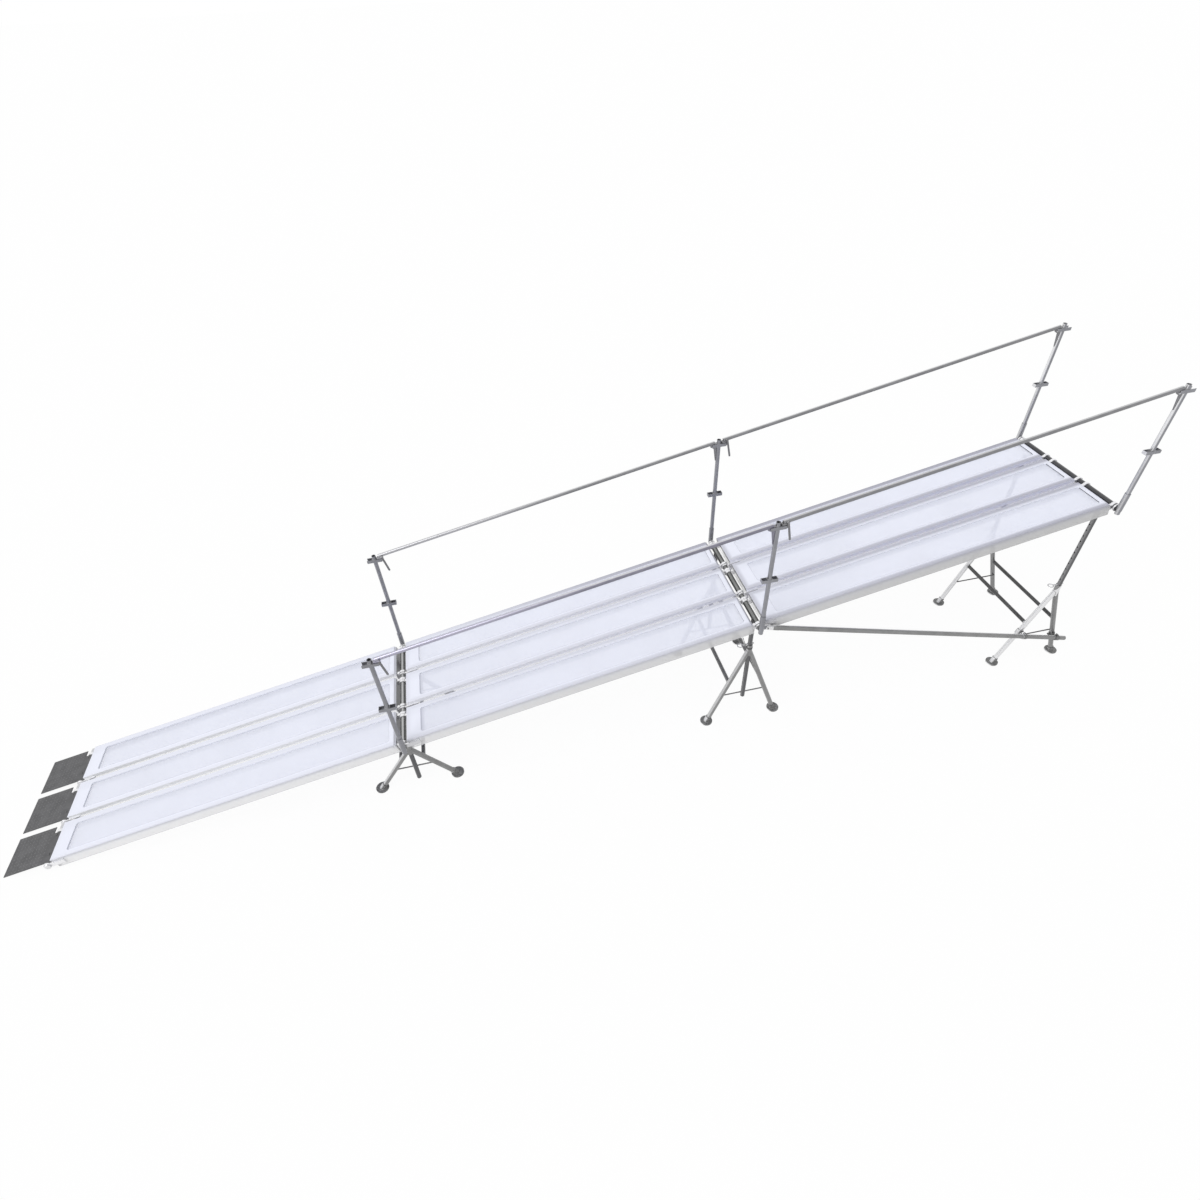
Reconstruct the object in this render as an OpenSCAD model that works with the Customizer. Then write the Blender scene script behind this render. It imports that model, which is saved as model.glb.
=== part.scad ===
// Ramp of three modules on adjustable trestles, with a guardrail on each side.
// Units are millimetres and degrees. X runs uphill, Y runs across the deck and Z is up.

/* [Deck] */
// Distance between two cross tubes, along the slope
module_len = 3000; // [2700:10:3100]
// Slope of the deck
slope = 11.475; // [10:0.025:12.5]
// Width of one plank
plank_w = 342; // [320:1:346]
// Gap between two planks, side by side
plank_gap = 50; // [44:1:52]
// Depth of a plank, at right angles to its top
plank_h = 108; // [100:1:120]
// Wall thickness of a plank
plank_wall = 4; // [3:0.5:6]
// Thickness of the rim on top of a plank
rim_t = 8; // [5:0.5:10]
// Width of that rim along the plank's sides
rim_side = 45; // [30:1:60]
// Width of that rim at the plank's lower end
rim_low = 120; // [60:1:160]
// Width of that rim at the plank's upper end
rim_high = 52; // [40:1:100]
// Corner radius of the opening in the rim
rim_corner = 22; // [10:1:28]
// Thickness of the panel under the rim
panel_t = 18; // [12:1:24]
// Thickness of the ledge that carries the panel
ledge_t = 5; // [3:0.5:8]
// Width of that ledge
ledge_w = 20; // [12:1:28]
// Distance from a cross tube's axis to the end of a plank
plank_end = 48; // [47:0.5:56]
// Height of the deck's top above a cross tube's axis, at right angles to the slope
deck_over = 49; // [42:0.5:54]
// Thickness of a plank's end plate
end_plate_t = 12; // [10:0.5:14]
// Bevel along the top edge of a plank's upper end
end_bevel = 16; // [6:1:17]
// Gap between the ground and the low end of the first planks
ground_gap = 1; // [0.5:0.5:5]

/* [Cross tubes] */
// Outer diameter of a cross tube
tube_d = 48.3; // [44:0.1:48.5]
// Wall thickness of a cross tube
tube_wall = 3.2; // [2:0.1:5]
// Width of a shoe under the foot tube
shoe_w = 28; // [16:1:30]
// Length of a shoe under the foot tube
shoe_l = 54; // [40:1:60]

/* [Claws] */
// Radial thickness of a claw
claw_t = 8; // [5:0.5:10]
// Width of a claw across the deck
claw_w = 24; // [16:1:25]
// Width of the side claws
side_claw_w = 12; // [8:0.5:13]
// Distance from a plank's edge to the middle of its upper claws
claw_in_y = 19; // [18:0.5:19.5]
// Distance from a plank's far edge to the middle of its lower claw
claw_far_y = 45; // [44.5:0.5:50]
// Reach of a side claw along the plank
side_claw_l = 92; // [60:1:140]

/* [Transition plates] */
// Length from the foot tube to the front edge
flap_len = 360; // [300:1:420]
// Thickness
flap_t = 5; // [4:0.5:8]
// Width
flap_w = 338; // [300:1:342]
// Reach behind the foot tube
flap_tail = 34; // [28:0.5:34]
// Width of a hook under the plate
flap_hook_w = 20; // [12:1:26]
// Distance of the hooks from the middle of the plate
flap_hook_y = 88; // [60:1:92]
// Radial thickness of a hook
flap_hook_t = 7.5; // [5:0.5:9]

/* [Posts and rails] */
// Gap between the outer side claws and a post socket
post_clear = 5.8; // [1:0.05:12]
// Outer diameter of a post
post_d = 33.7; // [30:0.1:34]
// Wall thickness of a post
post_wall = 2.6; // [2:0.1:4]
// Length of a post
post_len = 1082; // [950:1:1200]
// Distance of a post's lower end below the cross tube's axis
post_drop = 36; // [30:1:60]
// Outer diameter of a socket
socket_d = 42.4; // [40:0.1:48.3]
// Height of a socket's rim above the cross tube's axis
socket_up = 150; // [110:1:200]
// Height of a socket's narrow tip below the cross tube's axis
tip_drop = 8; // [0:1:20]
// Outer diameter of that tip
tip_d = 38; // [36:0.1:39.5]
// Thickness of a socket's floor
socket_floor = 4; // [3:0.5:8]
// Height of the knee bracket above a post's lower end
knee_h = 555; // [450:1:650]
// Reach of the knee bracket to each side
knee_reach = 63; // [52:1:90]
// Distance of the head bracket's middle below a post's top
head_drop = 45; // [40:1:52]
// Reach of the head bracket to each side
head_reach = 60; // [54:0.5:62]
// Height of a trough
trough_h = 26; // [22:1:30]
// Outer width of a trough
trough_out = 40; // [38:0.5:41]
// Inner width of a trough
trough_in = 32; // [31:0.5:34]
// Thickness of a trough's floor
trough_floor = 4; // [3:0.5:6]
// Thickness of the end walls of a knee bracket's troughs
trough_end = 4; // [3:0.5:6]
// Outer diameter of a rail
rail_d = 30; // [26:0.1:30]
// Wall thickness of a rail
rail_wall = 2.6; // [2:0.1:4]
// Distance of a rail's axis below the line through the posts' tops
rail_drop = 16; // [12:0.5:20]
// Distance from a post's axis to the end of a rail
rail_gap = 36; // [32:0.5:48]
// Width of a rail's seat block
seat_w = 28; // [20:0.5:29]
// Thickness of the gusset under a rail's upper end
gusset_t = 6; // [4:0.5:10]
// Distance from a post's axis to the gusset's outer edge beside the trough
gusset_l = 72; // [70:1:80]
// Distance from a post's axis to the gusset's outer edge under the trough
gusset_neck = 42; // [36:1:50]
// Depth of that edge below a post's top
neck_down = 78; // [72:1:90]
// Depth of the gusset's tip below a post's top
gusset_down = 190; // [150:1:220]
// Width of the gusset's tip
gusset_tip = 5; // [3:0.5:8]

/* [Levers] */
// Distance from a post's axis to a lever's pivot
lever_x = 64; // [62:0.5:72]
// Length of a lever below its pivot
lever_len = 158; // [120:1:180]
// Width of a lever
lever_w = 16; // [12:0.5:20]
// Thickness of a lever
lever_t = 5; // [3:0.5:6]
// Diameter of a lever's pivot
lever_pin_d = 8; // [6:0.5:10]

/* [Masts and pins] */
// Distance of a mast's axis inside the deck's side
mast_in = 112; // [108:1:130]
// Outer diameter of a mast
mast_d = 38; // [34:0.1:38.5]
// Wall thickness of a mast
mast_wall = 4; // [3:0.5:6]
// Height of the first trestle's mast ends
mast_low_1 = 53; // [30:1:90]
// Height of the second trestle's mast ends
mast_low_2 = 273; // [220:1:320]
// Height of the third trestle's mast ends
mast_low_3 = 795; // [740:1:800]
// Distance between two pin holes
hole_pitch = 60; // [40:1:75]
// Diameter of a locking pin
pin_d = 12; // [10:0.5:14]
// Reach of a locking pin to the uphill side of the mast
pin_out = 34; // [30:1:50]
// Distance from the mast's axis to the middle of the pin's ring
ring_x = 88; // [80:1:100]
// Diameter of the middle line of the pin's ring
ring_d = 44; // [34:1:56]
// Thickness of the ring's wire
ring_wire = 8; // [6:0.5:10]

/* [Trestles] */
// Outer diameter of a leg
leg_d = 42.4; // [38:0.1:44]
// Wall thickness of a leg
leg_wall = 3.2; // [2:0.1:5]
// Distance from a mast's axis to a foot
foot_x = 325; // [300:1:345]
// Distance below the first cross tube's axis where the first trestle's legs meet
apex_drop_1 = 191; // [185:1:215]
// Height where the other trestles' legs meet
apex_2 = 865; // [835:1:870]
// Outer diameter of a sleeve
sleeve_d = 48.3; // [46:0.1:54]
// Reach of a sleeve above the meeting of the legs
sleeve_up = 65; // [50:1:80]
// Reach of a sleeve below the meeting of the legs
sleeve_down = 55; // [40:1:75]
// Diameter of the thin crossbar
bar_d = 12; // [9:0.5:12]
// Height of the first trestle's crossbar
bar_z_1 = 180; // [150:1:210]
// Height of the other trestles' crossbars
bar_z_2 = 290; // [250:1:330]
// Diameter of a cross tie
tie_d = 33.7; // [26:0.1:36]
// Height of the first trestle's cross ties
tie_z_1 = 325; // [280:1:335]
// Height of the other trestles' cross ties
tie_z_2 = 480; // [440:1:550]
// Diameter of a foot pad
pad_d = 110; // [90:1:130]
// Thickness of a foot pad
pad_t = 12; // [8:0.5:16]
// Length of the collar on a foot pad
pad_collar_l = 62; // [54:1:80]
// Wall thickness of that collar
pad_collar_t = 5; // [3:0.5:8]

/* [Brace] */
// Outer diameter of the brace tube
brace_d = 42.4; // [39:0.1:43]
// Wall thickness of the brace tube
brace_wall = 3.2; // [2.5:0.1:5]
// Distance of the brace's bolt from the post's axis
brace_bolt_x = 50; // [48:0.5:60]
// Height of the brace's bolt above the cross tube's axis
brace_bolt_z = 15; // [5:1:30]
// Diameter of the brace's bolt
brace_bolt_d = 9; // [8:0.5:12]
// Thickness of the lug and of the brace's tab
lug_t = 8; // [6:0.5:8]
// Distance of the brace's lower end past the third post's axis
brace_end_x = 338; // [325:1:345]
// Distance from the third trestle's near legs out to the brace's lower end
brace_out = 53; // [52:0.5:61]
// Height of the brace's lower end
brace_end_z = 216; // [200:1:230]
// Width of a coupler along its tube
coupler_w = 46; // [36:1:50]
// Wall thickness of a coupler
coupler_t = 5; // [4:0.5:5.5]
// Diameter of a coupler's pivot boss
boss_d = 18; // [12:0.5:20]

/* [Clearances] */
// Gap between two pieces that move on each other
fit_gap = 0.3; // [0.2:0.05:0.4]
// Gap round a pin
pin_gap = 0.1; // [0.05:0.01:0.1]
// Gap between two pieces that are fixed together on a curved face
seat_gap = 0.2; // [0.1:0.05:0.3]

/* [Hidden] */
$fn = 48;

run = module_len * cos(slope);
plank_l = module_len - 2 * plank_end;
plank_pitch = plank_w + plank_gap;
tube_r = tube_d / 2;
mast_r = mast_d / 2;
leg_r = leg_d / 2;
pin_r = pin_d / 2;
post_r = post_d / 2;
socket_r = socket_d / 2;
rail_r = rail_d / 2;
brace_r = brace_d / 2;
bar_r = bar_d / 2;
pad_r = pad_d / 2;
sides = [-1, 1];
// How far a cut runs past a face, so that no skin is left there
past = 1;
deck_y = 1.5 * plank_w + plank_gap;
post_y = deck_y + side_claw_w + post_clear + socket_r;
mast_y = deck_y - mast_in;
foot_axis_z = (plank_h - deck_over) * cos(slope) - plank_end * sin(slope) + ground_gap;

// Place of the cross tube's axis, and of a post's ends, at a junction
function junction_x(k) = k * run;
function axis_z(k) = foot_axis_z + junction_x(k) * tan(slope);
function post_low_z(k) = axis_z(k) - post_drop;
function post_top_z(k) = post_low_z(k) + post_len;

// A transition plate lies on the foot tube and on the ground
flap_off = tube_r + fit_gap;
flap_tilt = asin(foot_axis_z / norm([flap_len, flap_off])) + atan(flap_off / flap_len);
flap_front_x = -flap_len * cos(flap_tilt) - (flap_off + flap_t) * sin(flap_tilt);

// Sizes of the trestles by their number
function apex(k) = k == 1 ? axis_z(1) - apex_drop_1 : apex_2;
function bar_z(k) = k == 1 ? bar_z_1 : bar_z_2;
function tie_z(k) = k == 1 ? tie_z_1 : tie_z_2;
function mast_low(k) = [mast_low_1, mast_low_2, mast_low_3][k - 1];
function leg_x(k, z) = foot_x * (1 - z / apex(k));
function pin_z(k) = apex(k) + sleeve_up + pin_r + fit_gap;
// A thin crossbar runs just inside its mast
bar_gap = 1;
bar_y = mast_y - mast_r - fit_gap - bar_r - bar_gap;

// Gaps of a rail's solid parts beside and under a head bracket, and of its gusset beside the post
rail_clear = 3;
under_gap = 2;
gusset_gap = 1;

// Heights of the head bracket, the rail and the pivot under a post's top
trough_low = -head_drop - trough_h / 2;
seat_low = trough_low + trough_floor + seat_gap;
collar_step = 1;
collar_r = trough_out / 2 + collar_step;
lever_y = trough_out / 2 + 2 * fit_gap;
function rail_z(x) = x * tan(slope) - rail_drop;

// Rim round a lever's pivot hole, and the head of its pivot
lever_rim = 6;
lever_head = 3;

// The brace from its bolt at the second post to its lower end past the third post
brace_top = [junction_x(2) + brace_bolt_x, -post_y, axis_z(2) + brace_bolt_z];
brace_low = [junction_x(3) + brace_end_x, -mast_y - brace_out, brace_end_z];
brace_vec = brace_low - brace_top;
brace_tilt = atan(-brace_vec[2] / brace_vec[0]);

// Where the brace's round tube starts, how far its flat tab reaches into it, and the rim round the bolt
brace_start = 80;
tab_bite = 30;
lug_rim = 8;
lug_r = lug_t + lug_rim;

// Clamp ear of a coupler: its block, how far its middle stands off the shell, and its cross bolt
ear_size = [16, 14, 16];
ear_off = 7;
clamp_off = 8;
clamp_r = 5;
clamp_l = 32;

// Share of a coupler's wall at which its pivot boss starts
boss_seat = 0.55 * coupler_t;

// Share of the brace's length at which it crosses a leg of the third trestle, seen from the side
function leg_share(side) =
    (junction_x(3) + side * foot_x - side * foot_x / apex_2 * brace_top[2] - brace_top[0])
    / (brace_vec[0] + side * foot_x / apex_2 * brace_vec[2]);
function crossing(side) = brace_top + leg_share(side) * brace_vec;
function boss_y(side) = (crossing(side)[1] - mast_y) / 2 + (brace_r - leg_r) / 2;

// The whole stands with the middle of its length over the origin
mid_x = (flap_front_x + junction_x(3) + foot_x + pad_r) / 2;

module shifted() {
    translate([-mid_x, 0, 0]) children();
}

// Children are drawn with the origin on a cross tube's axis and X along the slope
module on_slope(k) {
    translate([junction_x(k), 0, axis_z(k)]) rotate([0, -slope, 0]) children();
}

// Children are drawn once for the near side and once for the far side
module both_sides(x, y, z) {
    for (side = sides) translate([x, side * y, z]) children();
}

// A cylinder from one point to another
module rod(from, to, r) {
    v = to - from;
    translate(from)
        rotate([0, acos(v[2] / norm(v)), atan2(v[1], v[0])])
            cylinder(r = r, h = norm(v));
}

module rounded_block(l, w, h, r) {
    translate([r, 0, 0]) cube([l - 2 * r, w, h]);
    translate([0, r, 0]) cube([l, w - 2 * r, h]);
    for (x = [r, l - r], y = [r, w - r]) translate([x, y, 0]) cylinder(r = r, h = h);
}

// Children stand at the lower corner of one plank
module at_plank(k, row) {
    on_slope(k - 1)
        translate([plank_end, row * plank_pitch - plank_w / 2, deck_over - plank_h])
            children();
}

// One plank's frame: side walls, end plates, a rim on top, a ledge under the panel and a bevelled end
module plank_frame() {
    inner_l = plank_l - 2 * end_plate_t;
    inner_w = plank_w - 2 * plank_wall;
    panel_z = plank_h - rim_t - panel_t;
    ledge_in = plank_wall + ledge_w;
    difference() {
        cube([plank_l, plank_w, plank_h]);
        translate([end_plate_t, plank_wall, -past]) cube([inner_l, inner_w, panel_z - ledge_t + past]);
        translate([end_plate_t, ledge_in, 0]) cube([inner_l, plank_w - 2 * ledge_in, panel_z + past]);
        translate([end_plate_t, plank_wall, panel_z]) cube([inner_l, inner_w, panel_t]);
        translate([rim_low, rim_side, panel_z])
            rounded_block(plank_l - rim_low - rim_high, plank_w - 2 * rim_side, plank_h, rim_corner);
        translate([plank_l, plank_w + past, plank_h]) rotate([90, 0, 0]) linear_extrude(plank_w + 2 * past)
            polygon([[-end_bevel, 0], [0, -end_bevel], [past, -end_bevel], [past, past], [-end_bevel, past]]);
    }
}

module plank_frames(k) {
    color([0.88, 0.89, 0.93])
        for (row = [-1:1]) at_plank(k, row) plank_frame();
}

module panel(k, row) {
    color([0.92, 0.93, 0.97, 0.8])
        at_plank(k, row)
            translate([end_plate_t + seat_gap, plank_wall + seat_gap, plank_h - rim_t - panel_t + seat_gap])
                cube([plank_l - 2 * (end_plate_t + seat_gap),
                      plank_w - 2 * (plank_wall + seat_gap), panel_t - 2 * seat_gap]);
}

// The side view of one claw over a cross tube at the origin, with an arm of the given length
module claw_profile(arm) {
    inner = tube_r + fit_gap;
    arm_low = 0.8 * inner;
    arm_h = 1.7 * inner;
    difference() {
        union() {
            circle(r = inner + claw_t);
            translate([0, -arm_low]) square([arm, arm_h]);
        }
        circle(r = inner);
        translate([-3 * inner, -4 * inner]) square([4 * inner, 4 * inner - inner / 3]);
    }
}

module claw(y, w, arm) {
    translate([0, y + w / 2, 0]) rotate([90, 0, 0]) linear_extrude(w) claw_profile(arm);
}

// Each plank has two claws at its upper end, one beside it and one inside its width at its lower end
module claws(k) {
    color([0.93, 0.93, 0.95])
    for (row = [-1:1]) {
        near = row * plank_pitch - plank_w / 2;
        far = row * plank_pitch + plank_w / 2;
        on_slope(k - 1) {
            claw(near - side_claw_w / 2, side_claw_w, plank_end + side_claw_l);
            claw(far - claw_far_y, claw_w, plank_end);
        }
        on_slope(k) mirror([1, 0, 0]) {
            claw(near + claw_in_y, claw_w, plank_end);
            claw(far - claw_in_y, claw_w, plank_end);
        }
    }
}

// A hook that goes round the downhill side of the foot tube
module flap_hook() {
    outer = flap_off + flap_hook_t;
    rotate([90, 0, 0]) linear_extrude(flap_hook_w, center = true)
        difference() {
            circle(r = outer);
            circle(r = flap_off);
            translate([0, -2 * outer]) square([2 * outer, 4 * outer]);
        }
}

// A transition plate, with a notch for the claw of the plank behind it
module transition_plate(row) {
    notch_gap = 4;
    notch_reach = tube_r + fit_gap + claw_t + notch_gap;
    notch_y = plank_w / 2 - claw_far_y - claw_w / 2 - notch_gap;
    color([0.4, 0.4, 0.41])
    translate([0, row * plank_pitch, foot_axis_z]) rotate([0, -flap_tilt, 0]) {
        difference() {
            translate([-flap_len, -flap_w / 2, flap_off]) cube([flap_len + flap_tail, flap_w, flap_t]);
            translate([-notch_reach, notch_y, 0]) cube([4 * notch_reach, flap_w, 4 * notch_reach]);
        }
        for (side = sides) translate([0, side * flap_hook_y, 0]) flap_hook();
    }
}

// A cross tube, coped round the post sockets where it meets them
module cross_tube(k) {
    reach = k == 0 ? post_y - socket_r : post_y - socket_r / 2;
    color([0.5, 0.51, 0.53])
    difference() {
        translate([junction_x(k), reach, axis_z(k)]) rotate([90, 0, 0]) difference() {
            cylinder(r = tube_r, h = 2 * reach);
            translate([0, 0, -past]) cylinder(r = tube_r - tube_wall, h = 2 * (reach + past));
        }
        if (k > 0)
            both_sides(junction_x(k), post_y, axis_z(k) - 2 * tube_r)
                cylinder(r = socket_r + seat_gap, h = 4 * tube_r);
    }
}

// Shoes on the ground under the foot tube, in the gaps between the planks
module foot_shoes() {
    free_w = plank_gap - side_claw_w;
    color([0.45, 0.45, 0.46])
    difference() {
        for (row = [0, 1])
            translate([-shoe_l / 2, (row - 1) * plank_pitch + plank_w / 2 + (free_w - shoe_w) / 2, 0])
                cube([shoe_l, shoe_w, foot_axis_z - tube_r / 2]);
        translate([0, post_y, foot_axis_z]) rotate([90, 0, 0])
            cylinder(r = tube_r + seat_gap, h = 2 * post_y);
    }
}

// Two masts with pin holes, coped under the cross tube
module masts(k) {
    low = mast_low(k);
    holes = floor((pin_z(k) - low - 1.5 * pin_d) / hole_pitch);
    above = floor((axis_z(k) - tube_r - 1.5 * pin_d - pin_z(k)) / hole_pitch);
    color([0.55, 0.56, 0.58])
    difference() {
        both_sides(junction_x(k), mast_y, low) cylinder(r = mast_r, h = axis_z(k) - tube_r / 2 - low);
        both_sides(junction_x(k), mast_y, low - past) cylinder(r = mast_r - mast_wall, h = axis_z(k) - low);
        translate([junction_x(k), post_y, axis_z(k)]) rotate([90, 0, 0])
            cylinder(r = tube_r + seat_gap, h = 2 * post_y);
        for (i = [-holes:above])
            both_sides(junction_x(k) - 2 * mast_r, mast_y, pin_z(k) + i * hole_pitch)
                rotate([0, 90, 0]) cylinder(r = pin_r + pin_gap, h = 4 * mast_r);
    }
}

// A locking pin through a mast, with a ring on its downhill end
module pin(k, side) {
    shank = ring_x - ring_d / 2;
    color([0.6, 0.6, 0.62])
    translate([junction_x(k), side * mast_y, pin_z(k)]) {
        translate([-shank, 0, 0]) rotate([0, 90, 0]) cylinder(r = pin_r, h = shank + pin_out);
        translate([-ring_x, 0, 0]) rotate_extrude()
            translate([ring_d / 2, 0]) circle(r = ring_wire / 2);
    }
}

// A trestle: two A-frames, each with a sleeve, two legs and a thin crossbar, and two cross ties
module trestle(k) {
    top = apex(k);
    tie_x = leg_x(k, tie_z(k));
    bar_x = leg_x(k, bar_z(k));
    // Share of a leg, from its foot, that is hollow
    hollow = 0.72;
    color([0.6, 0.61, 0.63])
    translate([junction_x(k), 0, 0])
    difference() {
        union() {
            for (y = sides * mast_y, side = sides) rod([side * foot_x, y, 0], [0, y, top], leg_r);
            both_sides(0, mast_y, top - sleeve_down) cylinder(r = sleeve_d / 2, h = sleeve_down + sleeve_up);
            for (y = sides * bar_y) rod([-bar_x, y, bar_z(k)], [bar_x, y, bar_z(k)], bar_r);
            for (x = sides * tie_x) rod([x, -mast_y, tie_z(k)], [x, mast_y, tie_z(k)], tie_d / 2);
        }
        for (y = sides * mast_y, side = sides)
            rod([side * foot_x, y, 0], [side * foot_x * (1 - hollow), y, hollow * top], leg_r - leg_wall);
        both_sides(0, mast_y, 0) cylinder(r = mast_r + fit_gap, h = top + sleeve_up + past);
        translate([-2 * foot_x, -post_y, -pad_r])
            cube([4 * foot_x, 2 * post_y, pad_r + pad_t + seat_gap]);
    }
}

// Four foot pads, each with a collar round the leg
module foot_pads(k) {
    share = pad_collar_l / norm([foot_x, apex(k)]);
    color([0.35, 0.35, 0.37])
    translate([junction_x(k), 0, 0])
    for (y = sides * mast_y, side = sides) {
        difference() {
            union() {
                translate([side * foot_x, y, 0]) cylinder(r = pad_r, h = pad_t);
                rod([side * foot_x, y, 0], [side * foot_x * (1 - share), y, share * apex(k)],
                    leg_r + seat_gap + pad_collar_t);
            }
            difference() {
                rod([side * foot_x, y, 0], [0, y, apex(k)], leg_r + seat_gap);
                translate([-2 * foot_x, -post_y, -pad_r]) cube([4 * foot_x, 2 * post_y, pad_r + pad_t]);
            }
            translate([-2 * foot_x, -post_y, -2 * pad_r]) cube([4 * foot_x, 2 * post_y, 2 * pad_r]);
        }
    }
}

// Two post sockets with a closed tip; the near one at the second junction has a lug for the brace
module sockets(k) {
    low = post_low_z(k) - socket_floor;
    color([0.6, 0.61, 0.63])
    difference() {
        union() {
            both_sides(junction_x(k), post_y, axis_z(k) - tip_drop)
                cylinder(r = socket_r, h = socket_up + tip_drop);
            both_sides(junction_x(k), post_y, low) cylinder(r = tip_d / 2, h = axis_z(k) - low);
            if (k == 2) {
                translate([brace_top[0], -post_y + lug_t / 2, brace_top[2]]) rotate([90, 0, 0])
                    cylinder(r = lug_r, h = lug_t);
                translate([brace_top[0] - brace_bolt_x, -post_y - lug_t / 2, brace_top[2] - lug_r])
                    cube([brace_bolt_x, lug_t, 2 * lug_r]);
            }
        }
        both_sides(junction_x(k), post_y, post_low_z(k)) cylinder(r = post_r + seat_gap, h = post_len);
        if (k == 2)
            translate([brace_top[0], -post_y + lug_t, brace_top[2]]) rotate([90, 0, 0])
                cylinder(r = brace_bolt_d / 2 + pin_gap, h = 2 * lug_t);
    }
}

// A collar with a trough on each side, open at the top and, without an end wall, at its end
module bracket(reach, end_wall) {
    difference() {
        union() {
            cylinder(r = collar_r, h = trough_h);
            translate([-reach, -trough_out / 2, 0]) cube([2 * reach, trough_out, trough_h]);
        }
        for (side = [0, 180])
            rotate([0, 0, side])
                translate([collar_r, -trough_in / 2, trough_floor])
                    cube([reach - collar_r + (end_wall > 0 ? -end_wall : past), trough_in, trough_h]);
    }
}

// Two posts with a bracket under their open tops
module posts(k) {
    color([0.6, 0.61, 0.63])
    both_sides(junction_x(k), post_y, post_low_z(k))
        difference() {
            union() {
                cylinder(r = post_r, h = post_len);
                translate([0, 0, post_len + trough_low]) bracket(head_reach, 0);
            }
            translate([0, 0, -past]) cylinder(r = post_r - post_wall, h = post_len + 2 * past);
        }
}

module knee_brackets(k) {
    color([0.6, 0.61, 0.63])
    both_sides(junction_x(k), post_y, post_low_z(k) + knee_h - trough_h / 2)
        difference() {
            bracket(knee_reach, trough_end);
            translate([0, 0, -past]) cylinder(r = post_r + seat_gap, h = trough_h + 2 * past);
        }
}

// A top rail from one post to the next, with a seat block at each end and a gusset at its upper end
module rail(k, side) {
    low_x = rail_gap;
    high_x = run - rail_gap;
    bore_past = 9 * past;
    clear = collar_r + rail_clear;
    under = trough_low - under_gap;
    gusset_x = -post_r - gusset_gap;
    seat_x = -head_reach - rail_clear;
    pivot_y = lever_y - fit_gap;
    head_y = lever_y + lever_t + fit_gap;
    wall_y = rail_r - rail_wall / 2;
    color([0.6, 0.61, 0.63])
    translate([junction_x(k), side * post_y, post_top_z(k)]) {
        difference() {
            union() {
                rod([low_x, 0, rail_z(low_x)], [high_x, 0, rail_z(high_x)], rail_r);
                translate([clear, -seat_w / 2, seat_low])
                    cube([lever_x + lever_pin_d - clear, seat_w, rail_z(low_x) - seat_low - rail_r / 2]);
                translate([run - gusset_l, -seat_w / 2, run * tan(slope) + seat_low])
                    cube([gusset_l - clear, seat_w, rail_z(-head_reach) - seat_low]);
            }
            rod([low_x - bore_past, 0, rail_z(low_x - bore_past)],
                [high_x + bore_past, 0, rail_z(high_x + bore_past)], rail_r - rail_wall);
        }
        translate([run, gusset_t / 2, run * tan(slope)]) rotate([90, 0, 0]) linear_extrude(gusset_t)
            polygon([[-gusset_l, rail_z(-gusset_l) - rail_r / 2], [seat_x, rail_z(-head_reach) - rail_r / 2],
                     [seat_x, under], [gusset_x, under],
                     [gusset_x, -gusset_down], [gusset_x - gusset_tip, -gusset_down],
                     [-gusset_neck, -neck_down], [-gusset_l, under]]);
        translate([lever_x, 0, rail_z(lever_x)]) rotate([90, 0, 0]) {
            translate([0, 0, wall_y]) cylinder(r = lever_pin_d, h = pivot_y - wall_y);
            translate([0, 0, rail_r]) cylinder(r = lever_pin_d / 2, h = head_y - rail_r + lever_head / 2);
            translate([0, 0, head_y]) cylinder(r = lever_pin_d, h = lever_head);
        }
    }
}

// A lever on the rail's pivot, at right angles to the rail
module lever(k, side) {
    middle_y = side * post_y - lever_y - lever_t / 2;
    straight = lever_len - lever_w / 2;
    color([0.5, 0.51, 0.53])
    translate([junction_x(k) + lever_x, middle_y, post_top_z(k) + rail_z(lever_x)])
        rotate([90, -slope, 0]) linear_extrude(lever_t, center = true)
            difference() {
                union() {
                    circle(r = lever_pin_d / 2 + lever_rim);
                    translate([-lever_w / 2, -straight]) square([lever_w, straight]);
                    translate([0, -straight]) circle(r = lever_w / 2);
                }
                circle(r = lever_pin_d / 2 + pin_gap);
            }
}

// The brace tube with a flat tab at its upper end
module brace_tube() {
    start = brace_top + brace_start / norm(brace_vec) * brace_vec;
    bore_past = 0.01 * brace_vec;
    color([0.5, 0.5, 0.52])
    difference() {
        union() {
            difference() {
                rod(start, brace_low, brace_r);
                rod(start - bore_past, brace_low + bore_past, brace_r - brace_wall);
            }
            translate([brace_top[0], -post_y - lug_t / 2 - fit_gap, brace_top[2]])
                rotate([90, brace_tilt, 0]) {
                    cylinder(r = lug_r, h = lug_t);
                    translate([0, -lug_r, 0]) cube([brace_start + tab_bite, 2 * lug_r, lug_t]);
                }
        }
        translate([brace_top[0], -post_y, brace_top[2]]) rotate([90, 0, 0])
            cylinder(r = brace_bolt_d / 2 + pin_gap, h = 3 * lug_t);
    }
}

module brace_bolt() {
    inner = lug_t / 2 + seat_gap;
    outer = 1.5 * lug_t + 2 * fit_gap;
    head = 5;
    head_r = 0.8 * brace_bolt_d;
    color([0.7, 0.7, 0.72])
    translate([brace_top[0], -post_y, brace_top[2]]) rotate([90, 0, 0]) {
        translate([0, 0, -inner - head]) cylinder(r = head_r, h = head);
        translate([0, 0, -inner - past]) cylinder(r = brace_bolt_d / 2, h = inner + outer + 2 * past);
        translate([0, 0, outer]) cylinder(r = head_r, h = head);
    }
}

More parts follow.
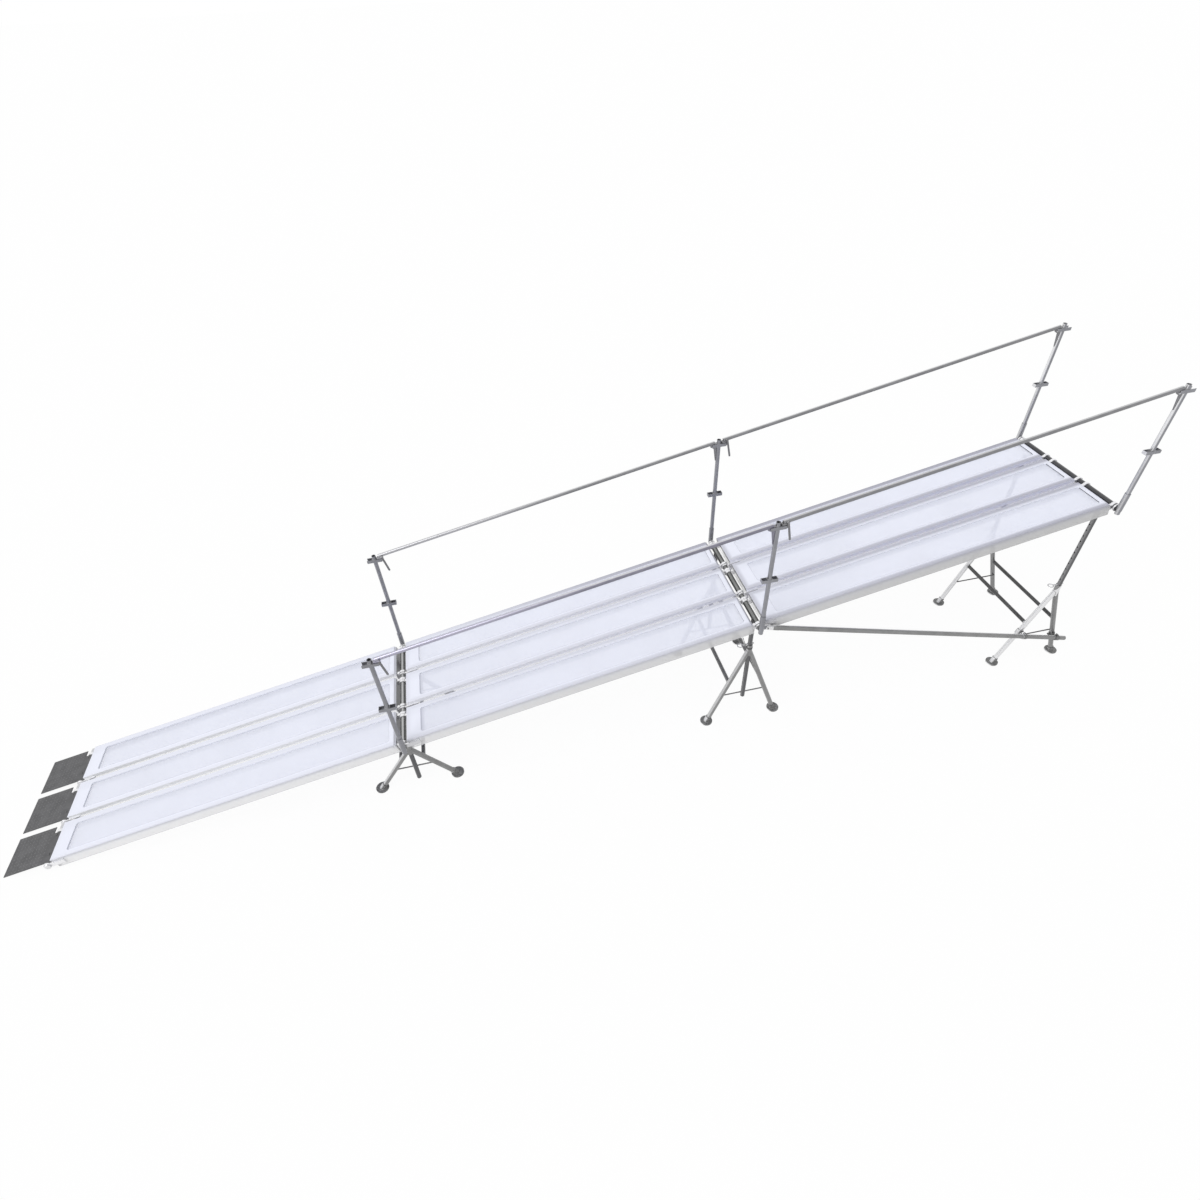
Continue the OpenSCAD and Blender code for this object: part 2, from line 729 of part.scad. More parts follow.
// A shell round a tube through a point, with a clamp ear on the given side
module shell(at, dir, r, ear) {
    axis = dir / norm(dir);
    difference() {
        union() {
            rod(at - axis * coupler_w / 2, at + axis * coupler_w / 2, r + seat_gap + coupler_t);
            translate(at + ear * (r + coupler_t + ear_off)) cube(ear_size, center = true);
            translate(at + ear * (r + coupler_t + clamp_off) - [0, clamp_l / 2, 0]) rotate([-90, 0, 0])
                cylinder(r = clamp_r, h = clamp_l);
        }
        rod(at - axis * coupler_w, at + axis * coupler_w, r + seat_gap);
    }
}

// The couplers' shells on the brace tube, each with half of a pivot
module tube_couplers() {
    color([0.75, 0.75, 0.77])
    for (side = sides) {
        at = crossing(side);
        shell(at, brace_vec, brace_r, [0, 0, 1]);
        start = at[1] + brace_r + boss_seat;
        translate([at[0], start, at[2]]) rotate([-90, 0, 0])
            cylinder(r = boss_d / 2, h = boss_y(side) - fit_gap / 2 - start);
    }
}

// The couplers' shells on the third trestle's near legs, each with the other half of a pivot
module leg_couplers() {
    color([0.75, 0.75, 0.77])
    for (side = sides) {
        at = [crossing(side)[0], -mast_y, crossing(side)[2]];
        start = at[1] - leg_r - boss_seat;
        shell(at, [-side * foot_x, 0, apex_2], leg_r, [-side, 0, 0]);
        translate([at[0], start, at[2]]) rotate([90, 0, 0])
            cylinder(r = boss_d / 2, h = start - boss_y(side) - fit_gap / 2);
    }
}

shifted() {
    panel(1, -1);  // panel_1_near
    panel(1, 0);  // panel_1_middle
    panel(1, 1);  // panel_1_far
    panel(2, -1);  // panel_2_near
    panel(2, 0);  // panel_2_middle
    panel(2, 1);  // panel_2_far
    panel(3, -1);  // panel_3_near
    panel(3, 0);  // panel_3_middle
    panel(3, 1);  // panel_3_far
    plank_frames(1);  // plank_frames_1
    plank_frames(2);  // plank_frames_2
    plank_frames(3);  // plank_frames_3
    claws(1);  // claws_1
    claws(2);  // claws_2
    claws(3);  // claws_3
    transition_plate(-1);  // transition_plate_near
    transition_plate(0);  // transition_plate_middle
    transition_plate(1);  // transition_plate_far
    cross_tube(0);  // cross_tube_foot
    cross_tube(1);  // cross_tube_1
    cross_tube(2);  // cross_tube_2
    cross_tube(3);  // cross_tube_top
    foot_shoes();
    masts(1);  // masts_1
    masts(2);  // masts_2
    masts(3);  // masts_3
    pin(1, -1);  // pin_1_near
    pin(1, 1);  // pin_1_far
    pin(2, -1);  // pin_2_near
    pin(2, 1);  // pin_2_far
    pin(3, -1);  // pin_3_near
    pin(3, 1);  // pin_3_far
    trestle(1);  // trestle_1
    trestle(2);  // trestle_2
    trestle(3);  // trestle_3
    foot_pads(1);  // foot_pads_1
    foot_pads(2);  // foot_pads_2
    foot_pads(3);  // foot_pads_3
    sockets(1);  // sockets_1
    sockets(2);  // sockets_2
    sockets(3);  // sockets_3
    posts(1);  // posts_1
    posts(2);  // posts_2
    posts(3);  // posts_3
    knee_brackets(1);  // knee_brackets_1
    knee_brackets(2);  // knee_brackets_2
    knee_brackets(3);  // knee_brackets_3
    rail(1, -1);  // rail_1_near
    rail(1, 1);  // rail_1_far
    rail(2, -1);  // rail_2_near
    rail(2, 1);  // rail_2_far
    lever(1, -1);  // lever_1_near
    lever(1, 1);  // lever_1_far
    lever(2, -1);  // lever_2_near
    lever(2, 1);  // lever_2_far
    brace_tube();
    brace_bolt();
    tube_couplers();
    leg_couplers();
}
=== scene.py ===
"""Looks, stage and camera for a modular drive-on ramp on adjustable trestles."""

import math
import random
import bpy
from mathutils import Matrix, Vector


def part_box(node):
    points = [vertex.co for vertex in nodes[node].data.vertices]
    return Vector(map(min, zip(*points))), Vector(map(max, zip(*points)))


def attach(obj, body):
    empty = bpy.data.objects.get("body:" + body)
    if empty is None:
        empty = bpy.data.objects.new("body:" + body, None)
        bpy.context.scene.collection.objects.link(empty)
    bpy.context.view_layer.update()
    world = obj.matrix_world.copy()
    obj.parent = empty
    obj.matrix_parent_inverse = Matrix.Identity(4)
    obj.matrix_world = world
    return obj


bl_info = {
    "name": "Drive-on ramp",
    "version": (1, 0, 0),
    "blender": (4, 5, 0),
    "location": "View3D > Sidebar > Ramp",
    "description": "Finishes and small metalwork of a modular ramp with its guardrail",
    "category": "Object",
}

import bmesh
import bpy
from mathutils import Matrix, Vector

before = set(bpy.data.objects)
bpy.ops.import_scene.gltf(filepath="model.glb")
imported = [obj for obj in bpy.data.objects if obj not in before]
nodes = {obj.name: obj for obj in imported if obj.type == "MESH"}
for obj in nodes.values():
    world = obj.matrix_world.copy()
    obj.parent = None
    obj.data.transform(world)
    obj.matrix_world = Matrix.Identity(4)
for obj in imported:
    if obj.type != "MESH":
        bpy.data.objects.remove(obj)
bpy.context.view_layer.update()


def middle(name):
    low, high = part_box(name)
    return (low + high) / 2


# The cross tubes' axes, from the foot of the ramp to its top
STATIONS = [middle(name) for name in ("cross_tube_foot", "cross_tube_1", "cross_tube_2", "cross_tube_top")]
RUN = STATIONS[1].x - STATIONS[0].x
SLOPE = math.atan2(STATIONS[3].z - STATIONS[0].z, STATIONS[3].x - STATIONS[0].x)
SIDES = {"near": -1, "far": 1}

# Directions: uphill along the deck, at right angles to it, square to a plank's bevelled upper edge, and towards
# the light beside the foot of the ramp
DECK_ALONG = (math.cos(SLOPE), 0.0, math.sin(SLOPE))
DECK_UP = (-math.sin(SLOPE), 0.0, math.cos(SLOPE))
DECK_BEVEL = tuple((a + b) / math.sqrt(2.0) for a, b in zip(DECK_ALONG, DECK_UP))
DOWNHILL_LIGHT = (-0.935, -0.14, 0.327)
WHITE = (1.0, 1.0, 1.0)
UP = Vector((0.0, 0.0, 1.0))
ACROSS = Vector((0.0, 1.0, 0.0))

# Sizes of the CAD solids that the small pieces sit on: radii of tubes, sleeves and collars, ends of a sleeve above
# and below the legs' meeting point, the pads' thickness, half the spread of a trestle's legs, and its ties' height
POST_R = 0.01685
SOCKET_R = 0.0212
LEG_R = 0.0212
TIE_R = 0.01685
SLEEVE_R = 0.02415
SLEEVE_UP = 0.065
SLEEVE_DOWN = 0.055
COLLAR_R = 0.0264
PAD_T = 0.012
FOOT_X = 0.325
TIE_Z = [0.0, 0.325, 0.480, 0.480]

# A mast's radius, and distances from the ramp's middle plane to the posts, the masts, the deck's edge and the
# middle lines of the outer planks
MAST_R = 0.019
POST_Y = 0.602
MAST_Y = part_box("masts_2")[1].y - MAST_R
DECK_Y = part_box("plank_frames_2")[1].y
PLANK_PITCH = middle("panel_2_far").y
PLANK_HALF = DECK_Y - PLANK_PITCH

# Height at which the legs of each trestle meet
APEX = [0.0] + [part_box(f"trestle_{k}")[1].z - SLEEVE_UP for k in (1, 2, 3)]

# Heights on a plank above the cross tubes' axes: the rim's underside, the fade of the walls up to the top, the
# painted shadow under a plank's lower end and the clear part of the walls in the gaps. Distances from a tube's
# axis: the end of the rim and the reach of the painted shade at a plank's end, and where the step down to the
# infill can start
RIM_UNDER = (0.0395, 0.0415)
WALL_FADE = (-0.02, 0.045)
NOSING_SHADOW = (0.010, 0.022)
GAP_CLEAR = (0.012, 0.02)
PLANK_END = (0.047, 0.09)
STEP_FROM = 0.075

# Places along the ramp: where the painted shade on the planks grows, where the painted shade on the deck's far edge
# does, and where the first and the last module's outer halves begin
SHADED_UPHILL = (-4.6, 4.6)
OUTER_FROM = (-1.6, 1.2)
ENDS = (-3.0, 3.0)

# How much a weld bead's radius varies
BEAD_VARIES = 0.2

# Heights over which a post's painted highlight grows, and places along the ramp where the painted light on the top
# rails ends
POST_HIGHLIGHT = (2.15, 2.5)
RAIL_LIT = (STATIONS[1].x + 0.7, STATIONS[1].x + 1.7)


# ---- Sizes and colours that a user would change ----


def colour(name, text, value):
    return bpy.props.FloatVectorProperty(name=name, description=text, default=value, subtype="COLOR",
                                         size=len(value), min=0.0, max=1.0)


def length(name, text, value):
    return bpy.props.FloatProperty(name=name, description=text, default=value, unit="LENGTH", min=0.0)


def share(name, text, value):
    return bpy.props.FloatProperty(name=name, description=text, default=value, subtype="FACTOR",
                                   min=0.0, max=1.0)


def plain(name, text, value, **kind):
    return bpy.props.FloatProperty(name=name, description=text, default=value, **kind)


def vector(name, text, value, **kind):
    return bpy.props.FloatVectorProperty(name=name, description=text, default=value, **kind)


class RampDeckLooks(bpy.types.PropertyGroup):
    """Colours of the deck planks, their claws and the transition plates"""

    panel: colour("Panel", "Milky infill of a plank", (0.845, 0.868, 0.975))
    panel_cover: share("Panel cover", "How much of what lies below one face of the infill hides", 0.66)
    rim: colour("Rim", "Top of a plank's frame", (0.85, 0.87, 0.975))
    # Painted shade along a plank's edges and ends, stronger further up the ramp
    edge: colour("Edge", "Top of a plank along its edges at the foot of the ramp", (0.80, 0.815, 0.90))
    edge_shaded: colour("Upper edge", "Top of a plank along its edges at the ramp's upper end",
                      (0.45, 0.455, 0.53))
    # Painted shade on a plank's walls, growing further up the ramp
    wall: colour("Wall", "Sides and ends of a plank at the foot of the ramp", (0.90, 0.90, 0.91))
    wall_shaded: colour("Upper wall", "Sides and ends of a plank at the ramp's upper end", (0.54, 0.54, 0.54))
    # Painted shade along each plank's far side
    far_side_shade: colour("Far band", "Soft band along the far side of each plank", (0.765, 0.785, 0.88))
    # Painted shade on the deck's far edge, further up the ramp
    outer: colour("Outer edge", "Far edge of the whole deck, further up the ramp", (0.36, 0.36, 0.43))
    # Painted light on the walls in the gaps at the foot of the ramp, turning to painted shade further up
    gap: colour("Gap wall", "Walls between two planks at the foot of the ramp", (0.96, 0.97, 1.0))
    gap_shaded: colour("Upper gap wall", "Walls between two planks at the ramp's upper end", (0.72, 0.73, 0.85))
    wall_lit: colour("Lit wall", "Sides and lower ends of a plank where they face the light", (0.98, 0.98, 0.98))
    # Painted lighter, to take out the shade of the step
    step: colour("Step", "Step from the rim down to the infill", (0.90, 0.915, 0.99))
    # Painted shadow under the top edge of a plank's lower end
    shade: colour("Nosing", "Band under the top edge of a plank's lower end", (0.24, 0.24, 0.25))
    # Painted shade on a plank's upper end
    end_wall_shade: colour("Upper end", "Upper end of a plank, under its rim", (0.21, 0.21, 0.22))
    rim_cover: share("Rim cover", "How much of what lies below the rim hides", 0.88)
    wall_cover: share("Wall cover", "How much of what lies behind a wall hides", 0.62)
    gap_cover: share("Gap cover", "How much of what lies behind the low part of a wall in a gap hides", 0.16)
    claw: colour("Claw", "Bright metal of the claws", (0.90, 0.90, 0.92))
    # Painted shade on the claws' cut faces, further up the ramp
    claw_side_shade: colour("Claw side", "Cut faces of the claws", (0.62, 0.62, 0.64))
    chequer: colour("Chequer plate", "Dark metal of the transition plates", (0.108, 0.108, 0.112))
    chequer_bar: colour("Chequer bar", "Raised bars, worn a little brighter", (0.15, 0.15, 0.155))
    chequer_pitch: length("Chequer pitch", "Distance between two raised bars", 0.03)
    chequer_height: length("Chequer height", "Height of a raised bar", 0.0014)


class RampSteelLooks(bpy.types.PropertyGroup):
    """Colours of the steel tubes, castings and fasteners"""

    gleam: colour("Gleam", "Steel where it faces the light", (0.86, 0.86, 0.87))
    foot_tube: colour("Foot tube", "Bright tube at the foot", (0.62, 0.62, 0.64))
    cross_tube: colour("Cross tube", "Steel of the two middle cross tubes", (0.25, 0.255, 0.25))
    # Painted highlight on the uphill side of the second middle cross tube
    lit_flank: colour("Cross tube's flank", "Uphill side of the second middle cross tube", (0.97, 0.97, 0.97))
    # Painted dark reflection on the upper cross tube, with a faint painted highlight
    top_tube_reflection: colour("Top tube", "Dark steel of the upper cross tube", (0.085, 0.085, 0.09))
    post: colour("Post", "Posts, sockets and brackets", (0.265, 0.268, 0.29))
    rail: colour("Rail", "Top rails", (0.235, 0.235, 0.245))
    # Painted reflection of the deck's colour on the near top rail
    rail_deck_reflection: colour("Rail over the deck", "Near top rail, which takes up the deck's colour",
                      (0.225, 0.22, 0.27))
    trestle: colour("Trestle", "Legs, sleeves and crossbars", (0.25, 0.25, 0.25))
    # Painted shade on the ties between two A-frames
    tie_shade: colour("Tie", "Ties between two A-frames", (0.15, 0.15, 0.15))
    mast: colour("Mast", "Masts with their pin holes", (0.12, 0.12, 0.125))
    brace: colour("Brace", "Long diagonal tube", (0.255, 0.255, 0.255))
    pad: colour("Foot pad", "Round plates under the legs", (0.20, 0.20, 0.20))
    coupler: colour("Coupler", "Couplers, bolts and nuts", (0.16, 0.16, 0.16))
    pin: colour("Pin", "Locking pins with their rings", (0.55, 0.55, 0.56))
    weld: colour("Weld", "Weld beads", (0.30, 0.30, 0.30))
    bead: length("Bead", "Radius of a weld bead", 0.0024)


class RampStage(bpy.types.PropertyGroup):
    """Camera, floor and lights"""

    camera_at: vector("Camera", "Place of the camera", (-0.48007, -4.15751, 5.10422), unit="LENGTH",
                      subtype="TRANSLATION")
    yaw: plain("Yaw", "Turn of the view from +Y towards +X", math.radians(10.382), unit="ROTATION")
    pitch: plain("Pitch", "Tilt of the view below level", math.radians(41.884), unit="ROTATION")
    roll: plain("Roll", "Roll of the view", math.radians(-3.139), unit="ROTATION")
    lens: plain("Lens", "Focal length on a 36 mm sensor", 20.527, unit="CAMERA")
    floor: colour("Floor", "Pale floor", (0.9, 0.9, 0.9))
    floor_glow: share("Floor glow", "How much of the floor that the camera sees is plain white", 0.95)
    sky: plain("Sky", "Strength of the soft light from all round", 0.66)
    key_from: vector("Key from", "Direction towards the key light", (-0.62, -0.32, 0.72), subtype="XYZ")
    key: plain("Key", "Strength of the light from above", 1.45)


# ---- Materials ----


class Wire:
    """One output of a node; sums on it add their Math nodes."""

    def __init__(self, graph, node, output=0):
        self.graph = graph
        self.node = node
        self.socket = node.outputs[output] if len(node.outputs) else None

    def out(self, name):
        return Wire(self.graph, self.node, name)

    def math(self, operation, *values):
        return self.graph.node("ShaderNodeMath", {"operation": operation}, dict(enumerate(values)))

    def __add__(self, other):
        return self.math("ADD", self, other)

    __radd__ = __add__

    def __mul__(self, other):
        return self.math("MULTIPLY", self, other)

    __rmul__ = __mul__

    def __sub__(self, other):
        return self.math("SUBTRACT", self, other)

    def __rsub__(self, other):
        return self.math("SUBTRACT", other, self)

    def __truediv__(self, other):
        return self.math("DIVIDE", self, other)

    def __gt__(self, other):
        return self.math("GREATER_THAN", self, other)

    def __lt__(self, other):
        return self.math("LESS_THAN", self, other)

    def __abs__(self):
        return self.math("ABSOLUTE", self)

    def fract(self):
        return self.math("FRACT", self)

    def clamped(self):
        return self.graph.node("ShaderNodeClamp", {}, {"Value": self})

    def most(self, other):
        return self.math("MAXIMUM", self, other)

    def least(self, other):
        return self.math("MINIMUM", self, other)

    def smooth(self, low, high):
        inputs = {"Value": self, "From Min": low, "From Max": high}
        return self.graph.node("ShaderNodeMapRange", {"interpolation_type": "SMOOTHSTEP"}, inputs)


class Graph:
    """The node tree of one material, or of the world."""

    def __init__(self, owner):
        self.owner = owner
        owner.use_nodes = True
        self.tree = owner.node_tree
        self.tree.nodes.clear()

    def feed(self, socket, value):
        if isinstance(value, Wire):
            self.tree.links.new(value.socket, socket)
        elif isinstance(value, (tuple, list)) and len(value) == 3 and socket.type == "RGBA":
            socket.default_value = (*value, 1.0)
        else:
            socket.default_value = value

    def node(self, kind, settings=None, inputs=None, output=0):
        made = self.tree.nodes.new(kind)
        for key, value in (settings or {}).items():
            setattr(made, key, value)
        for key, value in (inputs or {}).items():
            self.feed(made.inputs[key], value)
        return Wire(self, made, output)

    def place(self):
        return self.node("ShaderNodeTexCoord").out("Object")

    def noise(self, scale, detail, stretch=None):
        at = self.place()
        if stretch:
            at = self.node("ShaderNodeVectorMath", {"operation": "MULTIPLY"}, {0: at, 1: stretch})
        return self.node("ShaderNodeTexNoise", {}, {"Vector": at, "Scale": scale, "Detail": detail}, "Fac")

    def blend(self, mask, first, second):
        return self.node("ShaderNodeMix", {"data_type": "RGBA"}, {0: mask, 6: first, 7: second}, 2)

    def varied(self, mask, tint, darkest, lightest):
        return self.blend(mask, shaded(tint, darkest), shaded(tint, lightest))

    def bump(self, height, depth, strength):
        return self.node("ShaderNodeBump", {}, {"Height": height, "Distance": depth, "Strength": strength})

    def towards(self, place, direction):
        return self.node("ShaderNodeVectorMath", {"operation": "DOT_PRODUCT"}, {0: place, 1: direction}, 1)

    def facing(self, direction):
        """How far a face's own normal points along a direction, from -1 to 1."""
        return self.towards(self.node("ShaderNodeTexCoord").out("Normal"), direction)

    def height(self):
        """Height above the cross tubes' axes, at right angles to the deck, in metres."""
        return self.towards(self.place(), DECK_UP) - STATIONS[0].dot(Vector(DECK_UP))

    def along(self, letter):
        return self.node("ShaderNodeSeparateXYZ", {}, {"Vector": self.place()}).out(letter)

    def beside(self):
        """Distance across the deck from a plank's middle line, in metres, larger towards the far side."""
        return ((self.along("Y") / PLANK_PITCH + 0.5).fract() - 0.5) * PLANK_PITCH

    def far_side(self):
        """Soft mask of the painted shade along a plank's far side."""
        return self.beside().smooth(PLANK_HALF - 0.12, PLANK_HALF - 0.05) * 0.5

    def seen(self):
        """1 for the rays that should meet plain white: camera, glossy and transmission rays."""
        path = self.node("ShaderNodeLightPath")
        return (path.out("Is Camera Ray") + path.out("Is Glossy Ray") + path.out("Is Transmission Ray")).clamped()

    def surface(self, **values):
        inputs = {name.replace("_", " "): value for name, value in values.items()}
        shader = self.node("ShaderNodeBsdfPrincipled", {}, inputs)
        self.node("ShaderNodeOutputMaterial", {}, {"Surface": shader})
        return self.owner


def material_graph(name):
    return Graph(bpy.data.materials.new(name))


def milky_graph(name):
    graph = material_graph(name)
    graph.owner.surface_render_method = "DITHERED"
    return graph


def shaded(tint, factor):
    return tuple(min(1.0, part * factor) for part in tint)


def steel(name, tint, gleam, roughness=0.32, bright=DOWNHILL_LIGHT, band=(0.6, 0.95), strength=1.0, upper=None,
          pale_to=None, pale_tone=None, lit_legs=None, tie_shade=None):
    """Drawn steel tube: lengthwise marks, a faint mottle, a painted highlight as a bright band towards the light,
    and painted shade on the underside.

    upper gives the heights over which the painted highlight grows to its full strength. pale_to gives the places
    along the ramp up to which the steel is pale, in pale_tone; on the rails this is painted light. lit_legs is a
    trestle whose downhill legs get a painted highlight, and tie is the tint of the painted shade on what lies
    between a trestle's two A-frames.
    """
    graph = material_graph(name)
    mottle = graph.noise(9.0, 5.0)
    marks = graph.noise(260.0, 2.0, stretch=(0.12, 1.0, 0.12))
    tone = (mottle * 0.6 + marks * 0.4).smooth(0.3, 0.7)
    base = graph.varied(tone, tint, 0.88, 1.12)
    # Painted shade on the underside
    base = graph.blend(graph.facing((0.0, 0.0, -1.0)).smooth(0.1, 0.9) * 0.6, base, shaded(tint, 0.35))
    # Painted highlight where the steel faces the light
    lit = graph.facing(bright).smooth(*band) * (0.9 + mottle * 0.2)
    if upper:
        strength = strength + graph.along("Z").smooth(*upper) * (1.0 - strength)
    base = graph.blend(lit * strength, base, gleam)
    # Pale up to a place along the ramp; on the rails this is painted light
    if pale_to:
        base = graph.blend((1.0 - graph.along("X").smooth(*pale_to)) * 0.8, base, pale_tone or gleam)
    # Painted highlight on one trestle's downhill legs
    if lit_legs:
        foot = STATIONS[lit_legs].x - FOOT_X
        slant = graph.along("X") - graph.along("Z") * (FOOT_X / APEX[lit_legs]) - foot
        base = graph.blend((abs(slant) < LEG_R * 1.25) * 0.8, base, gleam)
    # Painted shade on what lies between a trestle's two A-frames
    if tie_shade:
        legs = MAST_Y - LEG_R
        inside = 1.0 - abs(graph.along("Y")).smooth(legs - 0.004, legs + 0.002)
        base = graph.blend(inside, base, graph.varied(tone, tie_shade, 0.8, 1.2))
    rough = roughness - 0.08 + mottle * 0.12 + marks * 0.05
    return graph.surface(Base_Color=base, Roughness=rough, Metallic=0.75, Normal=graph.bump(marks, 0.0002, 0.3))


def streaked(name, tint, gleam, streak=0.45, lit_flank=0.0):
    """Polished tube across the deck: a painted highlight as a narrow streak on top, painted shade just uphill of
    it, and a painted highlight on the side towards uphill, as strong as asked for.
    """
    graph = material_graph(name)
    mottle = graph.noise(14.0, 4.0)
    # Painted highlights on top and on the uphill side, and painted shade just uphill of the top
    bright = graph.facing((0.0, 0.0, 1.0)).smooth(0.93, 0.985) * streak
    uphill = graph.facing((1.0, 0.0, 0.0)).smooth(0.35, 0.65) * lit_flank
    dark = graph.facing((0.17, 0.0, 0.98)).smooth(0.9, 0.97) * graph.facing((1.0, 0.0, 0.0)).smooth(-0.3, 0.1)
    base = graph.varied(mottle.smooth(0.3, 0.7), tint, 0.88, 1.12)
    base = graph.blend(dark * 0.7, base, shaded(tint, 0.25))
    base = graph.blend(bright.most(uphill), base, gleam)
    return graph.surface(Base_Color=base, Roughness=0.2 + mottle * 0.1, Metallic=0.8 - uphill * 0.6,
                         Normal=graph.bump(mottle, 0.0002, 0.2))


def plated(name, tint, cut, roughness=0.16, dark_from=-9.0):
    """Plated metal: bright round faces, cut faces darker from a place along the ramp upwards, which on the claws is
    painted shade, and a few grey patches.
    """
    graph = material_graph(name)
    mottle = graph.noise(40.0, 4.0)
    # Cut faces darker from a place along the ramp upwards; on the claws this is painted shade
    side = abs(graph.facing(ACROSS)).smooth(0.8, 0.95) * graph.along("X").smooth(dark_from, dark_from + 3.0)
    base = graph.varied(mottle.smooth(0.35, 0.7), tint, 0.94, 1.0)
    base = graph.blend(side, base, cut)
    return graph.surface(Base_Color=base, Roughness=roughness + mottle * 0.08, Metallic=0.6,
                         Normal=graph.bump(mottle, 0.0002, 0.2))


def milky(name, tint, band, cover):
    """Milky sheet that lets some of what lies behind it show, with painted shade as a soft band along a plank's far
    side.
    """
    graph = milky_graph(name)
    cloud = graph.noise(2.2, 3.0)
    grain = graph.noise(420.0, 2.0)
    base = graph.varied(cloud.smooth(0.35, 0.65), tint, 0.985, 1.012)
    # Painted shade along a plank's far side
    base = graph.blend(graph.far_side(), base, band)
    return graph.surface(Base_Color=base, Roughness=0.34 + grain * 0.06, Metallic=0.0, Alpha=cover,
                         Normal=graph.bump(grain, 0.0002, 0.15))


def plank_shell(name, looks):
    """Milky folded shell of a plank: a pale top with painted shade at its edges, and walls with painted shade up
    the ramp.
    """
    graph = milky_graph(name)
    grain = graph.noise(420.0, 2.0)
    cloud = graph.noise(1.6, 3.0)
    along = graph.along("X")
    height = graph.height()
    # How far up the ramp a place is, for the painted shade that grows there
    uphill = (along + cloud * 0.6 - 0.3).smooth(*SHADED_UPHILL)

    # Distances from a plank's middle line and from the nearest cross tube
    aside = abs(graph.beside())
    part_of_run = ((along - STATIONS[0].x) / RUN).fract()
    from_tube = part_of_run.least(1.0 - part_of_run) * RUN

    # Masks: top, bevel at the upper end, edge of the rim, the rim's step down to the infill, walls in the gaps,
    # faces towards the light, and the planks' lower and upper ends except the ramp's own
    flat = graph.facing(DECK_UP).smooth(0.75, 0.95)
    bevel = graph.facing(DECK_BEVEL).smooth(0.9, 0.98)
    lip = height.smooth(*RIM_UNDER)
    step = lip * (1.0 - flat) * (aside < PLANK_HALF - 0.02) * (from_tube > STEP_FROM)
    between = 1.0 - abs(graph.along("Y")).smooth(DECK_Y - 0.006, DECK_Y - 0.002)
    lit = graph.facing(DOWNHILL_LIGHT).smooth(0.6, 0.9)
    ahead = (1.0 - graph.facing(DECK_ALONG).smooth(-0.98, -0.9)) * (along > ENDS[0])
    behind = graph.facing(DECK_ALONG).smooth(0.9, 0.98) * (along < ENDS[1])

    # Colours of the top, from its middle to its edges: painted shade along the far side, the edges and the ends,
    # and on the deck's far edge
    edge = graph.blend(uphill, looks.edge[:], looks.edge_shaded[:])
    rim = graph.blend(graph.far_side(), looks.rim[:], looks.far_side_shade[:])
    # Painted shade along a plank's edges and ends, stronger further up the ramp
    margin = aside.smooth(PLANK_HALF - 0.05, PLANK_HALF - 0.014).most(1.0 - from_tube.smooth(*PLANK_END))
    rim = graph.blend(margin * (0.35 + uphill * 0.65), rim, edge)
    # Painted shade on the deck's far edge, further up the ramp
    outer = graph.along("Y").smooth(DECK_Y - 0.055, DECK_Y - 0.03) * along.smooth(*OUTER_FROM)
    rim = graph.blend(outer * 0.75, rim, looks.outer[:])

    # Colours of the walls: painted shade that grows up the ramp, painted light in the gaps at the foot, and painted
    # light where a wall faces the light
    wall = graph.blend(uphill, looks.wall[:], looks.wall_shaded[:])
    wall = graph.blend(height.smooth(*WALL_FADE) * 0.6, wall, rim)
    # Painted light on the walls in the gaps at the foot, painted shade further up
    wall = graph.blend(between, wall, graph.blend(uphill, looks.gap[:], looks.gap_shaded[:]))
    wall = graph.blend((lit * (1.0 - between)).most(ahead), wall, looks.wall_lit[:])

    base = graph.blend(flat.most(lip * (1.0 - between)), wall, rim)
    # The bevel gets the edges' painted shade; the step is painted lighter, to take out its shade
    base = graph.blend(bevel, graph.blend(step, base, looks.step[:]), edge)
    # Painted shadow under the top edge of a plank's lower end
    base = graph.blend(ahead * height.smooth(*NOSING_SHADOW), base, looks.shade[:])
    # Painted shade on a plank's upper end, under its rim
    base = graph.blend(behind * (1.0 - lip), base, looks.end_wall_shade[:])

    # How much of what lies behind each face hides
    cover = looks.wall_cover + between * (looks.gap_cover - looks.wall_cover) + uphill * (between * 0.15 + 0.2)
    cover = cover.most(between * height.smooth(*GAP_CLEAR)).most(flat.most(lip) * looks.rim_cover)
    cover = cover.most(ahead.most(behind) * 0.95).most(lit * 0.8).least(0.96)
    return graph.surface(Base_Color=base, Roughness=0.3 + grain * 0.06, Metallic=ahead * 0.85, Alpha=cover,
                         Normal=graph.bump(grain, 0.0002, 0.15))


def cast(name, tint, gleam, roughness=0.5, until=99.0):
    """Slightly rough cast metal with a painted highlight on the side towards the light, up to a place along the
    ramp.
    """
    graph = material_graph(name)
    mottle = graph.noise(60.0, 5.0)
    grain = graph.noise(900.0, 2.0)
    base = graph.varied(mottle.smooth(0.3, 0.7), tint, 0.8, 1.25)
    lit = graph.facing(DOWNHILL_LIGHT).smooth(0.6, 0.95)
    lit = lit * (1.0 - graph.along("X").smooth(until, until + 0.05))
    base = graph.blend(lit * 0.8, base, gleam)
    return graph.surface(Base_Color=base, Roughness=roughness + mottle * 0.12, Metallic=0.5,
                         Normal=graph.bump(grain, 0.0004, 0.4))


def worn_plate(name, tint, wear_scale=14.0):
    """Dark rolled plate with scuffs."""
    graph = material_graph(name)
    wear = graph.noise(wear_scale, 5.0)
    grain = graph.noise(700.0, 2.0)
    base = graph.varied(wear.smooth(0.3, 0.7), tint, 0.85, 1.15)
    return graph.surface(Base_Color=base, Roughness=0.46 + wear * 0.1, Metallic=0.5,
                         Normal=graph.bump(grain, 0.0002, 0.3))


